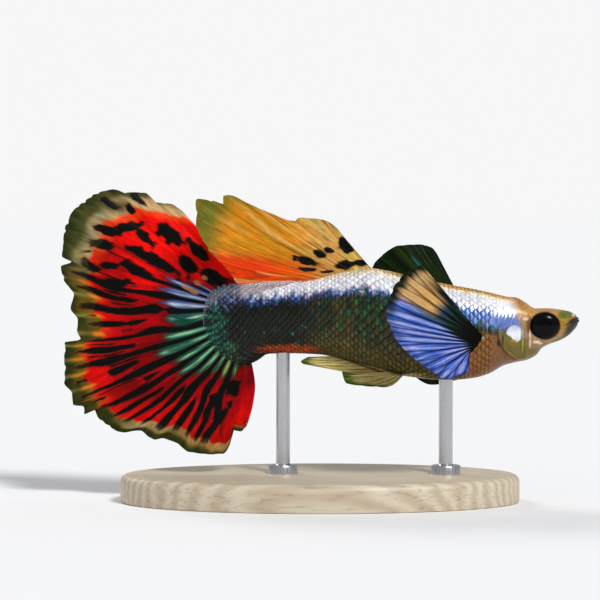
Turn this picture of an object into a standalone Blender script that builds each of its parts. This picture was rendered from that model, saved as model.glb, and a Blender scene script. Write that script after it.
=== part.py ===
"""A life-size fancy guppy, a male with a large tail fin and broad side fins, held over a flat base by two rods.

The fish heads along +X with its right side towards -Y. The origin is the centre of the base's underside.
Sizes below are in millimetres, and every mesh is scaled to metres as it is made.
"""

import math

import bmesh
import bpy
from mathutils import Matrix, Vector

MM = 0.001
GAP = 0.3  # between pieces that touch in life

# Body: x, height of the back, height of the belly, half width. The last stretch is the round end of the tail stem.
BODY = (
    (25.85, (18.32, 18.04, 0.26)),
    (25.70, (18.62, 17.66, 0.66)),
    (25.40, (18.88, 17.25, 0.98)),
    (24.90, (19.12, 16.75, 1.30)),
    (24.00, (19.28, 16.22, 1.70)),
    (22.90, (19.40, 15.82, 2.12)),
    (22.20, (19.40, 15.45, 2.30)),
    (21.60, (19.38, 14.72, 2.40)),
    (20.50, (20.04, 14.20, 2.56)),
    (19.60, (20.50, 14.06, 2.68)),
    (18.50, (20.60, 13.80, 2.80)),
    (17.00, (20.93, 12.98, 2.93)),
    (15.50, (21.25, 12.52, 3.03)),
    (13.50, (21.62, 12.32, 3.08)),
    (11.50, (22.00, 12.34, 3.05)),
    (9.50, (22.42, 12.56, 2.94)),
    (7.00, (23.06, 12.96, 2.70)),
    (4.80, (23.38, 13.64, 2.40)),
    (2.50, (23.08, 14.32, 2.08)),
    (0.00, (22.54, 14.84, 1.76)),
    (-3.00, (22.20, 14.96, 1.42)),
    (-5.20, (22.03, 14.88, 1.20)),
    (-6.30, (21.95, 14.20, 1.08)),
    (-7.50, (21.90, 13.65, 0.94)),
)
SIDES = 30  # points round the body
STEM_END_X = -7.5  # where the tail stem starts to round off
STEM_END_LENGTH = 4.2
STEM_EDGE_HALF = 0.36
STEM_SQUARE = (3.5, 2.0)  # how square the stem's end is above and below, 2 being an ellipse
STEM_TURN = 82  # degrees of the stem's round end that are built
EYE_SQUARE = 3.4  # how square the head is between the eyes, 2 being an ellipse
EYE_SQUARE_REACH = 2.6
BACK_SQUARE = 2.2
NECK_X = 17.5  # between head and trunk
VENT_X = -2.0  # between trunk and tail stem
BEND_START_X = 8.0  # behind this the fish curves gently to its left
BEND = 0.0036

# Head
EYE = Vector((22.38, 1.66, 17.80))
EYE_HALF = Vector((1.42, 0.98, 1.30))
BROW_HALF = Vector((1.95, 0.80, 1.56))  # swelling round the eye
NOSTRIL = (24.35, 18.72)
NOSTRIL_RADIUS = 0.24
MOUTH_FRONT = (26.2, 18.55)
MOUTH_CORNER = (24.45, 17.80)
MOUTH_SLOPE = (MOUTH_FRONT[1] - MOUTH_CORNER[1]) / (MOUTH_FRONT[0] - MOUTH_CORNER[0])
MOUTH_GAP = 0.26
LIP_FRONT_X = 25.66
LIP_STEPS = 6  # points on each side's lip
LIP_RADIUS = 0.2
LIP_INSET = 0.07
LIP_BOW = 0.1  # how far the lips rise at the snout's middle
JAW_HINGE = (23.9, 15.2)
JAW_CORNER_LEAN = 0.7
JAW_CUT_PAST = 1.0  # how far the cut between the jaws runs past the snout
JAW_CUT_FOOT = 13.0
JAW_CUT_HALF = 4.0
JAW_REAR_X = 23.0
GILL_MIDDLE = (19.3, 16.4)
GILL_HALF = (1.55, 1.9)
GILL_LEAN = 0.22  # how far its foot leans forward, per millimetre down
GILL_SIDES = 22
GILL_THICKNESS = 0.6
GILL_PROUD = 0.12
GILL_SIDE = (0.45, 4.5)  # sideways range of the block that the cover is cut from
GILL_RANGE = (22.0, 16.0)
GILL_RANGE_SPARE = 0.5

# Fins
FIN_THICKNESS = 0.5
FIN_EDGE = 0.34
RAY_HEIGHT = 0.26
ROOT_THICKNESS = 0.78
ROOT_SHARE = 0.25  # share of the fin over which the root's thickness fades out
LEAST_LEAN = 0.6  # keeps a steeply leaning fin from growing too thick
TAIL_RAYS = 20
DORSAL_RAYS = 8
SIDE_FIN_RAYS = 12
BELLY_FIN_RAYS = 5

# Stand
BASE_LENGTH = 40.0
BASE_WIDTH = 24.0
BASE_HEIGHT = 2.8
BASE_SIDES = 56
BASE_PROFILE = ((0.0, 0.25), (0.25, 0.0), (2.1, 0.0), (2.6, 0.22), (BASE_HEIGHT, 0.75))  # height, inset
ROD_RADIUS = 0.7
ROD_SIDES = 20
ROD_FOOT = ((0.0, 1.5), (0.5, 1.5), (0.8, 1.2), (1.0, ROD_RADIUS))  # height above the foot, radius
ROD_TOP_BEVEL = 0.15
FRONT_ROD_X = 12.6
REAR_ROD_X = -3.7


def smooth(knots, t):
    """Cubic through (t, values) knots that never overshoots them."""
    rising = sorted(knots)
    places = [k[0] for k in rising]
    t = min(max(t, places[0]), places[-1])
    i = max(n for n in range(len(places) - 1) if places[n] <= t)
    width = places[i + 1] - places[i]
    s = (t - places[i]) / width
    result = []
    for axis in range(len(rising[0][1])):
        value = [k[1][axis] for k in rising]
        slope = [(value[n + 1] - value[n]) / (places[n + 1] - places[n]) for n in range(len(places) - 1)]

        def tangent(n):
            if n in (0, len(places) - 1):
                return slope[min(n, len(slope) - 1)]
            before, after = slope[n - 1], slope[n]
            return 0.0 if before * after <= 0 else 2 * before * after / (before + after)

        result.append(
            value[i] * (1 + 2 * s) * (1 - s) ** 2
            + value[i + 1] * s * s * (3 - 2 * s)
            + tangent(i) * width * s * (1 - s) ** 2
            - tangent(i + 1) * width * s * s * (1 - s)
        )
    return result


def spine_y(x):
    """How far the fish's middle plane has swung to the left at x."""
    return BEND * max(0.0, BEND_START_X - x) ** 2


def body_at(x):
    """(back height, belly height, half width) at x."""
    if x >= STEM_END_X:
        return smooth(BODY, x)
    back, belly, half = BODY[-1][1]
    share = min(1.0, (STEM_END_X - x) / STEM_END_LENGTH)
    middle, height = (back + belly) / 2, (back - belly) / 2
    up, down = ((1 - share**power) ** (1 / power) * height for power in STEM_SQUARE)
    return middle + up, middle - down, half + (STEM_EDGE_HALF - half) * share


def squareness(x):
    """Exponent of the section's upper half: boxy over the eyes, rounder along the back."""
    near_eye = math.exp(-(((x - EYE.x) / EYE_SQUARE_REACH) ** 2))
    return BACK_SQUARE + (EYE_SQUARE - BACK_SQUARE) * near_eye


def skin_y(x, z, grow=0.0):
    """Half width of the body at x and height z."""
    back, belly, half = body_at(x)
    widest = (back + belly) / 2
    if z > widest:
        share, power = (z - widest) / (back + grow - widest), squareness(x)
    else:
        share, power = (widest - z) / (widest - belly + grow), 2.0
    return (half + grow) * max(0.0, 1 - min(1.0, share) ** power) ** (1 / power)


def body_rise(x, y):
    """How much higher the belly is at y than at its middle."""
    back, belly, half = body_at(x)
    return (back - belly) / 2 * (1 - math.sqrt(max(0.0, 1 - (y / half) ** 2)))


def section(x, grow):
    """One ring of points round the body."""
    back, belly, half = body_at(x)
    widest = (back + belly) / 2
    ring = []
    for k in range(SIDES):
        angle = 2 * math.pi * (k + 0.5) / SIDES
        across, up = math.cos(angle), math.sin(angle)
        power = 2 / squareness(x) if up > 0 else 1.0
        height = back + grow - widest if up > 0 else widest - belly + grow
        ring.append(
            Vector(
                (
                    x,
                    spine_y(x) + math.copysign(abs(across) ** power, across) * (half + grow),
                    widest + math.copysign(abs(up) ** power, up) * height,
                )
            )
        )
    return ring


def make_object(name, vertices, faces):
    """Mesh object from millimetre points, with its normals facing out."""
    mesh = bpy.data.meshes.new(name)
    mesh.from_pydata([tuple(Vector(v) * MM) for v in vertices], [], faces)
    work = bmesh.new()
    work.from_mesh(mesh)
    bmesh.ops.recalc_face_normals(work, faces=work.faces)
    work.to_mesh(mesh)
    work.free()
    made = bpy.data.objects.new(name, mesh)
    bpy.context.scene.collection.objects.link(made)
    return made


def loft(name, rings):
    """Closed solid through rings of equal length, its ends fanned to their middles."""
    count = len(rings[0])
    vertices = [v for ring in rings for v in ring]
    faces = []
    for r in range(len(rings) - 1):
        for k in range(count):
            a, b = r * count + k, r * count + (k + 1) % count
            faces.append((a, b, b + count, a + count))
    for r in (0, len(rings) - 1):
        vertices.append(sum(rings[r], Vector()) / count)
        for k in range(count):
            faces.append((r * count + k, r * count + (k + 1) % count, len(vertices) - 1))
    return make_object(name, vertices, faces)


def body_length(name, front, rear, rings, crowd=1.0, grow=0.0):
    """A length of the body between two x planes. Above 1, crowd sets the rings closer at the front."""
    places = [front + (rear - front) * (n / (rings - 1)) ** crowd for n in range(rings)]
    return loft(name, [section(x, grow) for x in places])


def prism(name, outline, near, far):
    """Solid with an x-z outline, from y near to y far."""
    return loft(name, [[Vector((x, y, z)) for x, z in outline] for y in (near, far)])


def tube(name, path, radius):
    """Round bar along a path, with its ends drawn in."""
    sides, end_share = 8, 0.6
    rings = []
    for i, point in enumerate(path):
        ahead = (path[min(i + 1, len(path) - 1)] - path[max(i - 1, 0)]).normalized()
        side = ahead.cross(Vector((0, 0, 1))).normalized()
        over = side.cross(ahead)
        size = radius * (end_share if i in (0, len(path) - 1) else 1.0)
        turns = [2 * math.pi * k / sides for k in range(sides)]
        rings.append([point + size * (math.cos(a) * side + math.sin(a) * over) for a in turns])
    return loft(name, rings)


def ellipsoid(name, centre, half, segments, rings):
    """Ellipsoid with its poles at its left and right."""
    work = bmesh.new()
    bmesh.ops.create_uvsphere(work, u_segments=segments, v_segments=rings, radius=1.0)
    turn = Matrix.Rotation(math.pi / 2, 4, "X")
    work.transform(Matrix.Translation(centre) @ Matrix.Diagonal((*half, 1.0)) @ turn)
    work.transform(Matrix.Scale(MM, 4))
    mesh = bpy.data.meshes.new(name)
    work.to_mesh(mesh)
    work.free()
    made = bpy.data.objects.new(name, mesh)
    bpy.context.scene.collection.objects.link(made)
    return made


def keep_largest(target):
    """Drops every closed surface of the object but its largest."""
    work = bmesh.new()
    work.from_mesh(target.data)
    left, shells = set(work.verts), []
    while left:
        shell, front = set(), [left.pop()]
        while front:
            vertex = front.pop()
            shell.add(vertex)
            for edge in vertex.link_edges:
                other = edge.other_vert(vertex)
                if other in left:
                    left.remove(other)
                    front.append(other)
        shells.append(shell)
    largest = max(shells, key=len)
    bmesh.ops.delete(work, geom=[v for v in work.verts if v not in largest])
    work.to_mesh(target.data)
    work.free()


def combine(target, operation, tool):
    """Applies one Boolean to the target and removes the tool."""
    modifier = target.modifiers.new(operation, "BOOLEAN")
    modifier.operation = operation
    modifier.object = tool
    graph = bpy.context.evaluated_depsgraph_get()
    result = bpy.data.meshes.new_from_object(target.evaluated_get(graph))
    target.modifiers.clear()
    target.data = result
    bpy.data.objects.remove(tool)
    keep_largest(target)


def mirrored(point, side):
    return Vector((point.x, point.y * side, point.z))


def finish(made, colour, roughness, metallic=0.0):
    """Gives a piece its material and smooth shading between sharp edges."""
    material = bpy.data.materials.new(made.name)
    material.use_nodes = True
    shader = material.node_tree.nodes["Principled BSDF"]
    shader.inputs["Base Color"].default_value = (*colour, 1.0)
    shader.inputs["Roughness"].default_value = roughness
    shader.inputs["Metallic"].default_value = metallic
    made.data.materials.clear()
    made.data.materials.append(material)
    made.data.shade_smooth()
    made.data.set_sharp_from_angle(angle=math.radians(40))


def mouth_path(lift):
    """Points round the mouth, corner to corner, raised from its line by lift."""
    right = []
    for n in range(LIP_STEPS):
        x = MOUTH_CORNER[0] + (LIP_FRONT_X - MOUTH_CORNER[0]) * n / LIP_STEPS
        z = MOUTH_CORNER[1] + MOUTH_SLOPE * (x - MOUTH_CORNER[0]) + lift
        right.append(Vector((x, LIP_INSET - skin_y(x, z), z)))
    middle = Vector((LIP_FRONT_X, 0.0, right[-1].z + LIP_BOW))
    return right + [middle] + [mirrored(point, -1) for point in reversed(right)]


def jaw_outline(grow):
    """The lower jaw's side, as x-z points. Growing it moves the mouth line up and the hinge line back."""
    front = MOUTH_FRONT[0] + JAW_CUT_PAST
    return (
        (MOUTH_CORNER[0] - grow, MOUTH_CORNER[1] + grow * JAW_CORNER_LEAN),
        (front, MOUTH_FRONT[1] + MOUTH_SLOPE * JAW_CUT_PAST + grow),
        (front, JAW_CUT_FOOT),
        (JAW_HINGE[0] - grow, JAW_CUT_FOOT),
        (JAW_HINGE[0] - grow, JAW_HINGE[1]),
    )


def jaw_prism(grow):
    return prism("jaw_prism", jaw_outline(grow), -JAW_CUT_HALF, JAW_CUT_HALF)


def gill_outline(grow):
    """The gill cover's edge as x-z points, moved out by grow."""
    edge = []
    for k in range(GILL_SIDES):
        turn = 2 * math.pi * k / GILL_SIDES
        across, up = (GILL_HALF[0] + grow) * math.cos(turn), (GILL_HALF[1] + grow) * math.sin(turn)
        edge.append((GILL_MIDDLE[0] + across - GILL_LEAN * up, GILL_MIDDLE[1] + up))
    return edge


def gill_prism(side, grow):
    return prism("gill_prism", gill_outline(grow), side * GILL_SIDE[0], side * GILL_SIDE[1])


def make_head():
    """Head with its eye sockets, gill recesses, nostrils and upper lip."""
    head = body_length("head", BODY[0][0], NECK_X + GAP / 2, 26, crowd=1.3)
    combine(head, "DIFFERENCE", jaw_prism(MOUTH_GAP))
    combine(head, "UNION", tube("upper_lip", mouth_path(MOUTH_GAP + LIP_RADIUS), LIP_RADIUS))
    for side in (-1, 1):
        combine(head, "UNION", ellipsoid("brow", mirrored(EYE, side), BROW_HALF, 32, 20))
        combine(head, "DIFFERENCE", ellipsoid("socket", mirrored(EYE, side), EYE_HALF + Vector((GAP,) * 3), 28, 16))
        recess = gill_prism(side, GAP)
        under = body_length("under", *GILL_RANGE, 14, grow=GILL_PROUD - GILL_THICKNESS - GAP)
        combine(recess, "DIFFERENCE", under)
        combine(head, "DIFFERENCE", recess)
        x, z = NOSTRIL
        pit = Vector((x, side * skin_y(x, z), z))
        combine(head, "DIFFERENCE", ellipsoid("nostril", pit, Vector((NOSTRIL_RADIUS,) * 3), 10, 6))
    finish(head, (0.45, 0.27, 0.10), 0.35)


def make_jaw():
    """Lower jaw, with its lip along the mouth."""
    jaw = body_length("lower_jaw", BODY[0][0], JAW_REAR_X, 14, crowd=1.2)
    combine(jaw, "INTERSECT", jaw_prism(0.0))
    combine(jaw, "UNION", tube("lower_lip", mouth_path(-LIP_RADIUS), LIP_RADIUS))
    finish(jaw, (0.20, 0.17, 0.05), 0.35)


def make_gill_cover(name, side):
    """Plate over one side's gills."""
    cover = gill_prism(side, 0.0)
    combine(cover, "INTERSECT", body_length("outside", *GILL_RANGE, 20, grow=GILL_PROUD))
    front, rear = GILL_RANGE[0] + GILL_RANGE_SPARE, GILL_RANGE[1] - GILL_RANGE_SPARE
    combine(cover, "DIFFERENCE", body_length("inside", front, rear, 20, grow=GILL_PROUD - GILL_THICKNESS))
    cover.name = name
    finish(cover, (0.55, 0.52, 0.30), 0.25, 0.4)


def make_eye(name, side):
    finish(ellipsoid(name, mirrored(EYE, side), EYE_HALF, 20, 12), (0.01, 0.01, 0.012), 0.08)


def make_trunk():
    finish(body_length("trunk", NECK_X - GAP / 2, VENT_X + GAP / 2, 25), (0.10, 0.14, 0.09), 0.3, 0.3)


def make_tail_stem():
    """Narrow end of the body, with its round edge where the tail fin's rays start."""
    front, steps = VENT_X - GAP / 2, 8
    straight = [front + (STEM_END_X - front) * n / steps for n in range(steps)]
    turns = [math.radians(STEM_TURN) * n / steps for n in range(steps + 1)]
    rounded = [STEM_END_X - STEM_END_LENGTH * math.sin(turn) for turn in turns]
    finish(loft("tail_stem", [section(x, 0.0) for x in straight + rounded]), (0.06, 0.12, 0.12), 0.3, 0.3)


def make_fin(name, surface, rays, rows, lay, colour):
    """Fin on a surface(u, v), with u across its rays and v from root to edge, thickened along lay.

    Every second column stands up as a ray. Both faces are split into triangles the same way.
    """
    columns = 2 * rays
    centre = [[surface(c / columns, r / rows) for c in range(columns + 1)] for r in range(rows + 1)]
    lay = Vector(lay).normalized()
    vertices, faces = [], []
    for side in (1, -1):
        for r in range(rows + 1):
            v = r / rows
            for c in range(columns + 1):
                ray = RAY_HEIGHT * (c % 2) * (1 - v) ** 0.5
                sheet = FIN_THICKNESS + (ROOT_THICKNESS - FIN_THICKNESS) * max(0.0, 1 - v / ROOT_SHARE)
                thick = FIN_EDGE if r == rows else sheet + ray
                across = centre[r][min(c + 1, columns)] - centre[r][max(c - 1, 0)]
                along = centre[min(r + 1, rows)][c] - centre[max(r - 1, 0)][c]
                lean = max(LEAST_LEAN, abs(across.cross(along).normalized().dot(lay)))
                vertices.append(centre[r][c] + lay * side * thick / 2 / lean)
    size, width = (rows + 1) * (columns + 1), columns + 1
    for r in range(rows):
        for c in range(columns):
            a, b = r * width + c, r * width + c + 1
            d, e = a + width, b + width
            for start, turned in ((0, False), (size, True)):
                for corners in ((a, b, e), (a, e, d)):
                    face = [start + k for k in corners]
                    faces.append(face[::-1] if turned else face)
    rim = [c for c in range(columns)]
    rim += [r * width + columns for r in range(rows)]
    rim += [rows * width + c for c in range(columns, 0, -1)]
    rim += [r * width for r in range(rows, 0, -1)]
    for i, a in enumerate(rim):
        b = rim[(i + 1) % len(rim)]
        faces.append((a, b, b + size))
        faces.append((a, b + size, a + size))
    fin = make_object(name, vertices, faces)
    finish(fin, colour, 0.4)


def bent_ray(root, tip, heading, v):
    """Point at v on a ray that leaves its root along heading and ends at its tip."""
    control = root + heading * (tip - root).length * 0.5
    return root * (1 - v) ** 2 + control * 2 * v * (1 - v) + tip * v * v


# Tail fin: where the rays end, from the top round to the bottom, and how the edge is nicked.
TAIL_TIPS = (
    (0.00, (-14.4, 29.6)),
    (0.05, (-16.6, 30.1)),
    (0.09, (-18.6, 31.1)),
    (0.13, (-21.0, 31.3)),
    (0.19, (-23.5, 30.4)),
    (0.24, (-25.0, 28.9)),
    (0.30, (-25.7, 26.2)),
    (0.36, (-25.9, 23.6)),
    (0.39, (-25.8, 21.9)),
    (0.42, (-24.7, 19.7)),
    (0.46, (-24.4, 17.0)),
    (0.49, (-25.4, 15.6)),
    (0.53, (-25.7, 13.0)),
    (0.58, (-24.9, 10.2)),
    (0.63, (-23.3, 8.6)),
    (0.70, (-20.6, 6.8)),
    (0.77, (-16.6, 6.2)),
    (0.84, (-12.6, 4.75)),
    (0.91, (-9.6, 4.6)),
    (0.95, (-8.5, 6.5)),
    (1.00, (-7.1, 7.5)),
)
TAIL_HEADINGS = ((0.0, (124,)), (0.24, (152,)), (0.46, (190,)), (0.7, (226,)), (0.84, (246,)), (1.0, (286,)))
TAIL_NICKS = ((0.35, 0.06, 0.012), (0.475, 0.05, 0.012), (0.6, 0.05, 0.012))  # place, depth, width
TAIL_ROOT_TURN = (94.0, 279.0)
TAIL_SCALLOPS = (9, 0.008)  # count, depth
TAIL_FOLD = 0.9
TAIL_WAVES = ((3.2, 0.6, 1.0), (8.0, 0.0, 0.35))  # count across the fin, phase, share


def tail_surface(u, v):
    back, belly, _ = BODY[-1][1]
    turn = math.radians(TAIL_ROOT_TURN[0] + (TAIL_ROOT_TURN[1] - TAIL_ROOT_TURN[0]) * u)
    across, up = math.cos(turn), math.sin(turn)
    power = 2 / (STEM_SQUARE[0] if up > 0 else STEM_SQUARE[1])
    root = Vector(
        (
            STEM_END_X + (STEM_END_LENGTH + GAP) * math.copysign(abs(across) ** power, across),
            0.0,
            (back + belly) / 2 + ((back - belly) / 2 + GAP) * math.copysign(abs(up) ** power, up),
        )
    )
    x, z = smooth(TAIL_TIPS, u)
    tip = Vector((x, 0.0, z))
    short = TAIL_SCALLOPS[1] * math.sin(2 * math.pi * TAIL_SCALLOPS[0] * u)
    for place, depth, width in TAIL_NICKS:
        short += depth * math.exp(-(((u - place) / width) ** 2))
    tip += (root - tip) * short
    heading = math.radians(smooth(TAIL_HEADINGS, u)[0])
    point = bent_ray(root, tip, Vector((math.cos(heading), 0.0, math.sin(heading))), v)
    waves = sum(share * math.sin(2 * math.pi * count * u + phase) for count, phase, share in TAIL_WAVES)
    point.y = spine_y(point.x) + TAIL_FOLD * v * v * waves
    return point


# Dorsal fin: the free rear part trails over the tail stem, leaning a little to the right, clear of the tail fin.
DORSAL_BASE = (5.2, -1.6)
DORSAL_TIPS = (
    (0.00, (1.2, 28.1)),
    (0.14, (-1.8, 28.4)),
    (0.28, (-5.2, 29.2)),
    (0.42, (-9.1, 30.8)),
    (0.48, (-9.9, 30.1)),
    (0.55, (-12.0, 30.2)),
    (0.66, (-12.2, 28.6)),
    (0.78, (-11.6, 26.6)),
    (0.89, (-10.3, 24.5)),
    (1.00, (-7.9, 22.6)),
)
DORSAL_LEAN = 2.6
DORSAL_LENGTH = 17.0
DORSAL_HEADINGS = (132, 172)  # degrees, of the first and the last ray
DORSAL_NOTCH = (0.19, 0.5, 0.06)  # place, depth, width
DORSAL_WAVE = 0.25
DORSAL_LIFT = 0.08  # how much further its lower edge clears the back at its tip


def dorsal_surface(u, v):
    x = DORSAL_BASE[0] + (DORSAL_BASE[1] - DORSAL_BASE[0]) * u
    root = Vector((x, spine_y(x), body_at(x)[0] + GAP))
    tip_x, tip_z = smooth(DORSAL_TIPS, u)
    place, depth, width = DORSAL_NOTCH
    tip = Vector((tip_x, 0.0, tip_z - depth * math.exp(-(((u - place) / width) ** 2))))
    heading = math.radians(DORSAL_HEADINGS[0] + (DORSAL_HEADINGS[1] - DORSAL_HEADINGS[0]) * u)
    point = bent_ray(root, tip, Vector((math.cos(heading), 0.0, math.sin(heading))), v)
    if u > 0.5:
        point.z = max(point.z, body_at(point.x)[0] + GAP + DORSAL_LIFT * v)
    back_share = min(1.0, max(0.0, (DORSAL_BASE[0] - point.x) / DORSAL_LENGTH))
    wave = DORSAL_WAVE * v * math.sin(4 * math.pi * u)
    point.y = spine_y(x) * (1 - v) - DORSAL_LEAN * back_share**1.5 + wave
    return point


# Side fins: their roots run down behind the gill cover. Tips are x, z and how far out from the root.
SIDE_ROOT = ((15.7, 17.25), (14.85, 15.3))
SIDE_SCALLOP = 0.02
SIDE_BOW = 0.7
SIDE_WAVE = 0.22
RIGHT_TIPS = (
    (0.00, (9.9, 24.2, 4.6)),
    (0.12, (8.0, 23.1, 5.4)),
    (0.25, (6.8, 21.2, 5.9)),
    (0.37, (6.4, 19.4, 6.0)),
    (0.50, (6.9, 17.9, 5.8)),
    (0.62, (7.7, 16.4, 5.3)),
    (0.72, (9.1, 15.0, 4.7)),
    (0.82, (10.7, 13.8, 4.0)),
    (0.91, (12.4, 12.8, 3.2)),
    (1.00, (14.6, 13.4, 2.4)),
)
LEFT_TIPS = (
    (0.00, (11.7, 24.9, 5.0)),
    (0.12, (10.2, 25.45, 5.6)),
    (0.25, (8.2, 25.35, 6.1)),
    (0.37, (6.4, 24.3, 6.3)),
    (0.50, (5.3, 22.6, 6.3)),
    (0.62, (5.5, 20.0, 6.0)),
    (0.72, (6.8, 16.4, 5.4)),
    (0.82, (8.8, 12.9, 4.6)),
    (0.91, (11.4, 11.25, 3.7)),
    (1.00, (14.3, 11.9, 2.6)),
)


def side_fin_surface(tips, side):
    def surface(u, v):
        x = SIDE_ROOT[0][0] + (SIDE_ROOT[1][0] - SIDE_ROOT[0][0]) * u
        z = SIDE_ROOT[0][1] + (SIDE_ROOT[1][1] - SIDE_ROOT[0][1]) * u
        out = skin_y(x, z) + GAP + ROOT_THICKNESS / 2
        root = Vector((x, side * out, z))
        tip_x, tip_z, reach = smooth(tips, u)
        tip = Vector((tip_x, side * (out + reach), tip_z))
        tip += (root - tip) * SIDE_SCALLOP * math.cos(2 * math.pi * SIDE_FIN_RAYS * u)
        point = root.lerp(tip, v)
        point.y += side * (SIDE_BOW * v * (1 - v) + SIDE_WAVE * v * math.sin(6 * math.pi * u))
        return point

    return surface


# Fins under the belly. Each is a trailing blade: root line on the belly, then where its first and last rays end.
PELVIC_OUT = 0.75
PELVIC_SPREAD = 0.9
PELVIC_ROOT = (7.4, 8.4)
PELVIC_TIPS = ((0.0, (2.2, 13.0)), (0.5, (2.6, 12.05)), (0.8, (4.6, 11.75)), (1.0, (6.4, 11.65)))
ANAL_ROOT = (4.3, 6.9)
ANAL_TIPS = ((0.0, (-1.5, 14.22)), (0.5, (-1.9, 13.98)), (1.0, (-0.6, 13.75)))
BELLY_FIN_SAG = 0.35


def blade_surface(roots, tips):
    def surface(u, v):
        root_x = roots[0] + (roots[1] - roots[0]) * u
        root = Vector((root_x, 0.0, body_at(root_x)[1] - GAP))
        tip_x, tip_z = smooth(tips, u)
        point = root.lerp(Vector((tip_x, 0.0, tip_z)), v)
        point.z -= BELLY_FIN_SAG * math.sin(math.pi * v) * u
        return point

    return surface


def pelvic_surface(side):
    flat = blade_surface(PELVIC_ROOT, PELVIC_TIPS)

    def surface(u, v):
        point = flat(u, v)
        x = PELVIC_ROOT[0] + (PELVIC_ROOT[1] - PELVIC_ROOT[0]) * u
        point.y = side * (PELVIC_OUT + PELVIC_SPREAD * v)
        point.z += body_rise(x, PELVIC_OUT) * (1 - v)
        return point

    return surface


# Fin colours
TAIL_RED = (0.62, 0.02, 0.015)
DORSAL_ORANGE = (0.72, 0.33, 0.04)
SIDE_BLUE = (0.12, 0.25, 0.62)
SIDE_GREEN = (0.02, 0.07, 0.03)
BELLY_STRAW = (0.45, 0.38, 0.15)


def make_fins():
    """All seven fins, each thickened along its own direction."""
    make_fin("tail_fin", tail_surface, TAIL_RAYS, 14, (0, 1, 0), TAIL_RED)
    make_fin("dorsal_fin", dorsal_surface, DORSAL_RAYS, 12, (0, 1, 0), DORSAL_ORANGE)
    make_fin("pectoral_fin_right", side_fin_surface(RIGHT_TIPS, -1), SIDE_FIN_RAYS, 9, (-0.45, 1, 0.1), SIDE_BLUE)
    make_fin("pectoral_fin_left", side_fin_surface(LEFT_TIPS, 1), SIDE_FIN_RAYS, 9, (0.45, 1, -0.1), SIDE_GREEN)
    make_fin("pelvic_fin_right", pelvic_surface(-1), BELLY_FIN_RAYS, 7, (0, 1, 0.25), BELLY_STRAW)
    make_fin("pelvic_fin_left", pelvic_surface(1), BELLY_FIN_RAYS, 7, (0, 1, -0.25), BELLY_STRAW)
    make_fin("anal_fin", blade_surface(ANAL_ROOT, ANAL_TIPS), BELLY_FIN_RAYS, 9, (0, 1, 0), BELLY_STRAW)


def stack(name, levels, middle, half, sides):
    """Upright solid through ovals at (height, inset) levels."""
    turns = [2 * math.pi * k / sides for k in range(sides)]
    rings = []
    for z, inset in levels:
        across, deep = half[0] - inset, half[1] - inset
        oval = [(middle[0] + across * math.cos(a), middle[1] + deep * math.sin(a)) for a in turns]
        rings.append([Vector((x, y, z)) for x, y in oval])
    return loft(name, rings)


def make_stand():
    """Oval base with two rods, whose tops stop just under the belly."""
    base = stack("stand_base", BASE_PROFILE, (0.0, 0.0), (BASE_LENGTH / 2, BASE_WIDTH / 2), BASE_SIDES)
    finish(base, (0.70, 0.62, 0.50), 0.45)
    for name, x in (("stand_rod_front", FRONT_ROD_X), ("stand_rod_rear", REAR_ROD_X)):
        foot = BASE_HEIGHT + GAP
        top = body_at(x)[1] - GAP
        levels = [(foot + height, -radius) for height, radius in ROD_FOOT]
        levels += [(top - ROD_TOP_BEVEL, -ROD_RADIUS), (top, ROD_TOP_BEVEL - ROD_RADIUS)]
        rod = stack(name, levels, (x, spine_y(x)), (0.0, 0.0), ROD_SIDES)
        finish(rod, (0.62, 0.62, 0.64), 0.3, 1.0)


def main():
    for old in list(bpy.data.objects):
        bpy.data.objects.remove(old)
    make_head()
    make_jaw()
    for side_name, side in (("right", -1), ("left", 1)):
        make_gill_cover(f"gill_cover_{side_name}", side)
        make_eye(f"eye_{side_name}", side)
    make_trunk()
    make_tail_stem()
    make_fins()
    make_stand()


main()
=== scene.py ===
import math

import bmesh
import bpy
import numpy as np
from mathutils import Matrix, Vector


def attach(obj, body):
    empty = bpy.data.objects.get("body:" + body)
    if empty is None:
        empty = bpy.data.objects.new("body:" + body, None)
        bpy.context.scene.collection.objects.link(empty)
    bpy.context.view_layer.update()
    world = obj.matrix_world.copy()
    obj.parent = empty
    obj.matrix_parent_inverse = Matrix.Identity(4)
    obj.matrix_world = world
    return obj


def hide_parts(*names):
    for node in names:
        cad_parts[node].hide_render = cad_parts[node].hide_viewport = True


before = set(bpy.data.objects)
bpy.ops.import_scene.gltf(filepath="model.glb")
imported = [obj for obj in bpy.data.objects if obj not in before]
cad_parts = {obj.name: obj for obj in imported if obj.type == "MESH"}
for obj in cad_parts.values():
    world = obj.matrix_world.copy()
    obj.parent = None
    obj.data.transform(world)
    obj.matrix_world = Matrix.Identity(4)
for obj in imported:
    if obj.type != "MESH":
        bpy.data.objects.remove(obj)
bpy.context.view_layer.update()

# Every size below is in millimetres, and meshes are scaled to metres as they are made.
mm = 0.001


# Numbers and noise

def smoothKnots(knots, t):
    rising = sorted(knots)
    places = np.array([knot[0] for knot in rising], float)
    values = np.array([knot[1] for knot in rising], float).reshape(len(rising), -1)
    t = np.clip(np.asarray(t, float), places[0], places[-1])
    i = np.clip(np.searchsorted(places, t, side="right") - 1, 0, len(places) - 2)
    width = np.diff(places)
    slope = np.diff(values, axis=0) / width[:, None]
    tangent = np.zeros_like(values)
    tangent[0], tangent[-1] = slope[0], slope[-1]
    before, after = slope[:-1], slope[1:]
    total = np.where(before + after == 0, 1, before + after)
    tangent[1:-1] = np.where(before * after > 0, 2 * before * after / total, 0)
    s = ((t - places[i]) / width[i])[..., None]
    w = width[i][..., None]
    return (
        values[i] * (1 + 2 * s) * (1 - s) ** 2
        + values[i + 1] * s * s * (3 - 2 * s)
        + tangent[i] * w * s * (1 - s) ** 2
        - tangent[i + 1] * w * s * s * (1 - s)
    )


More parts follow.
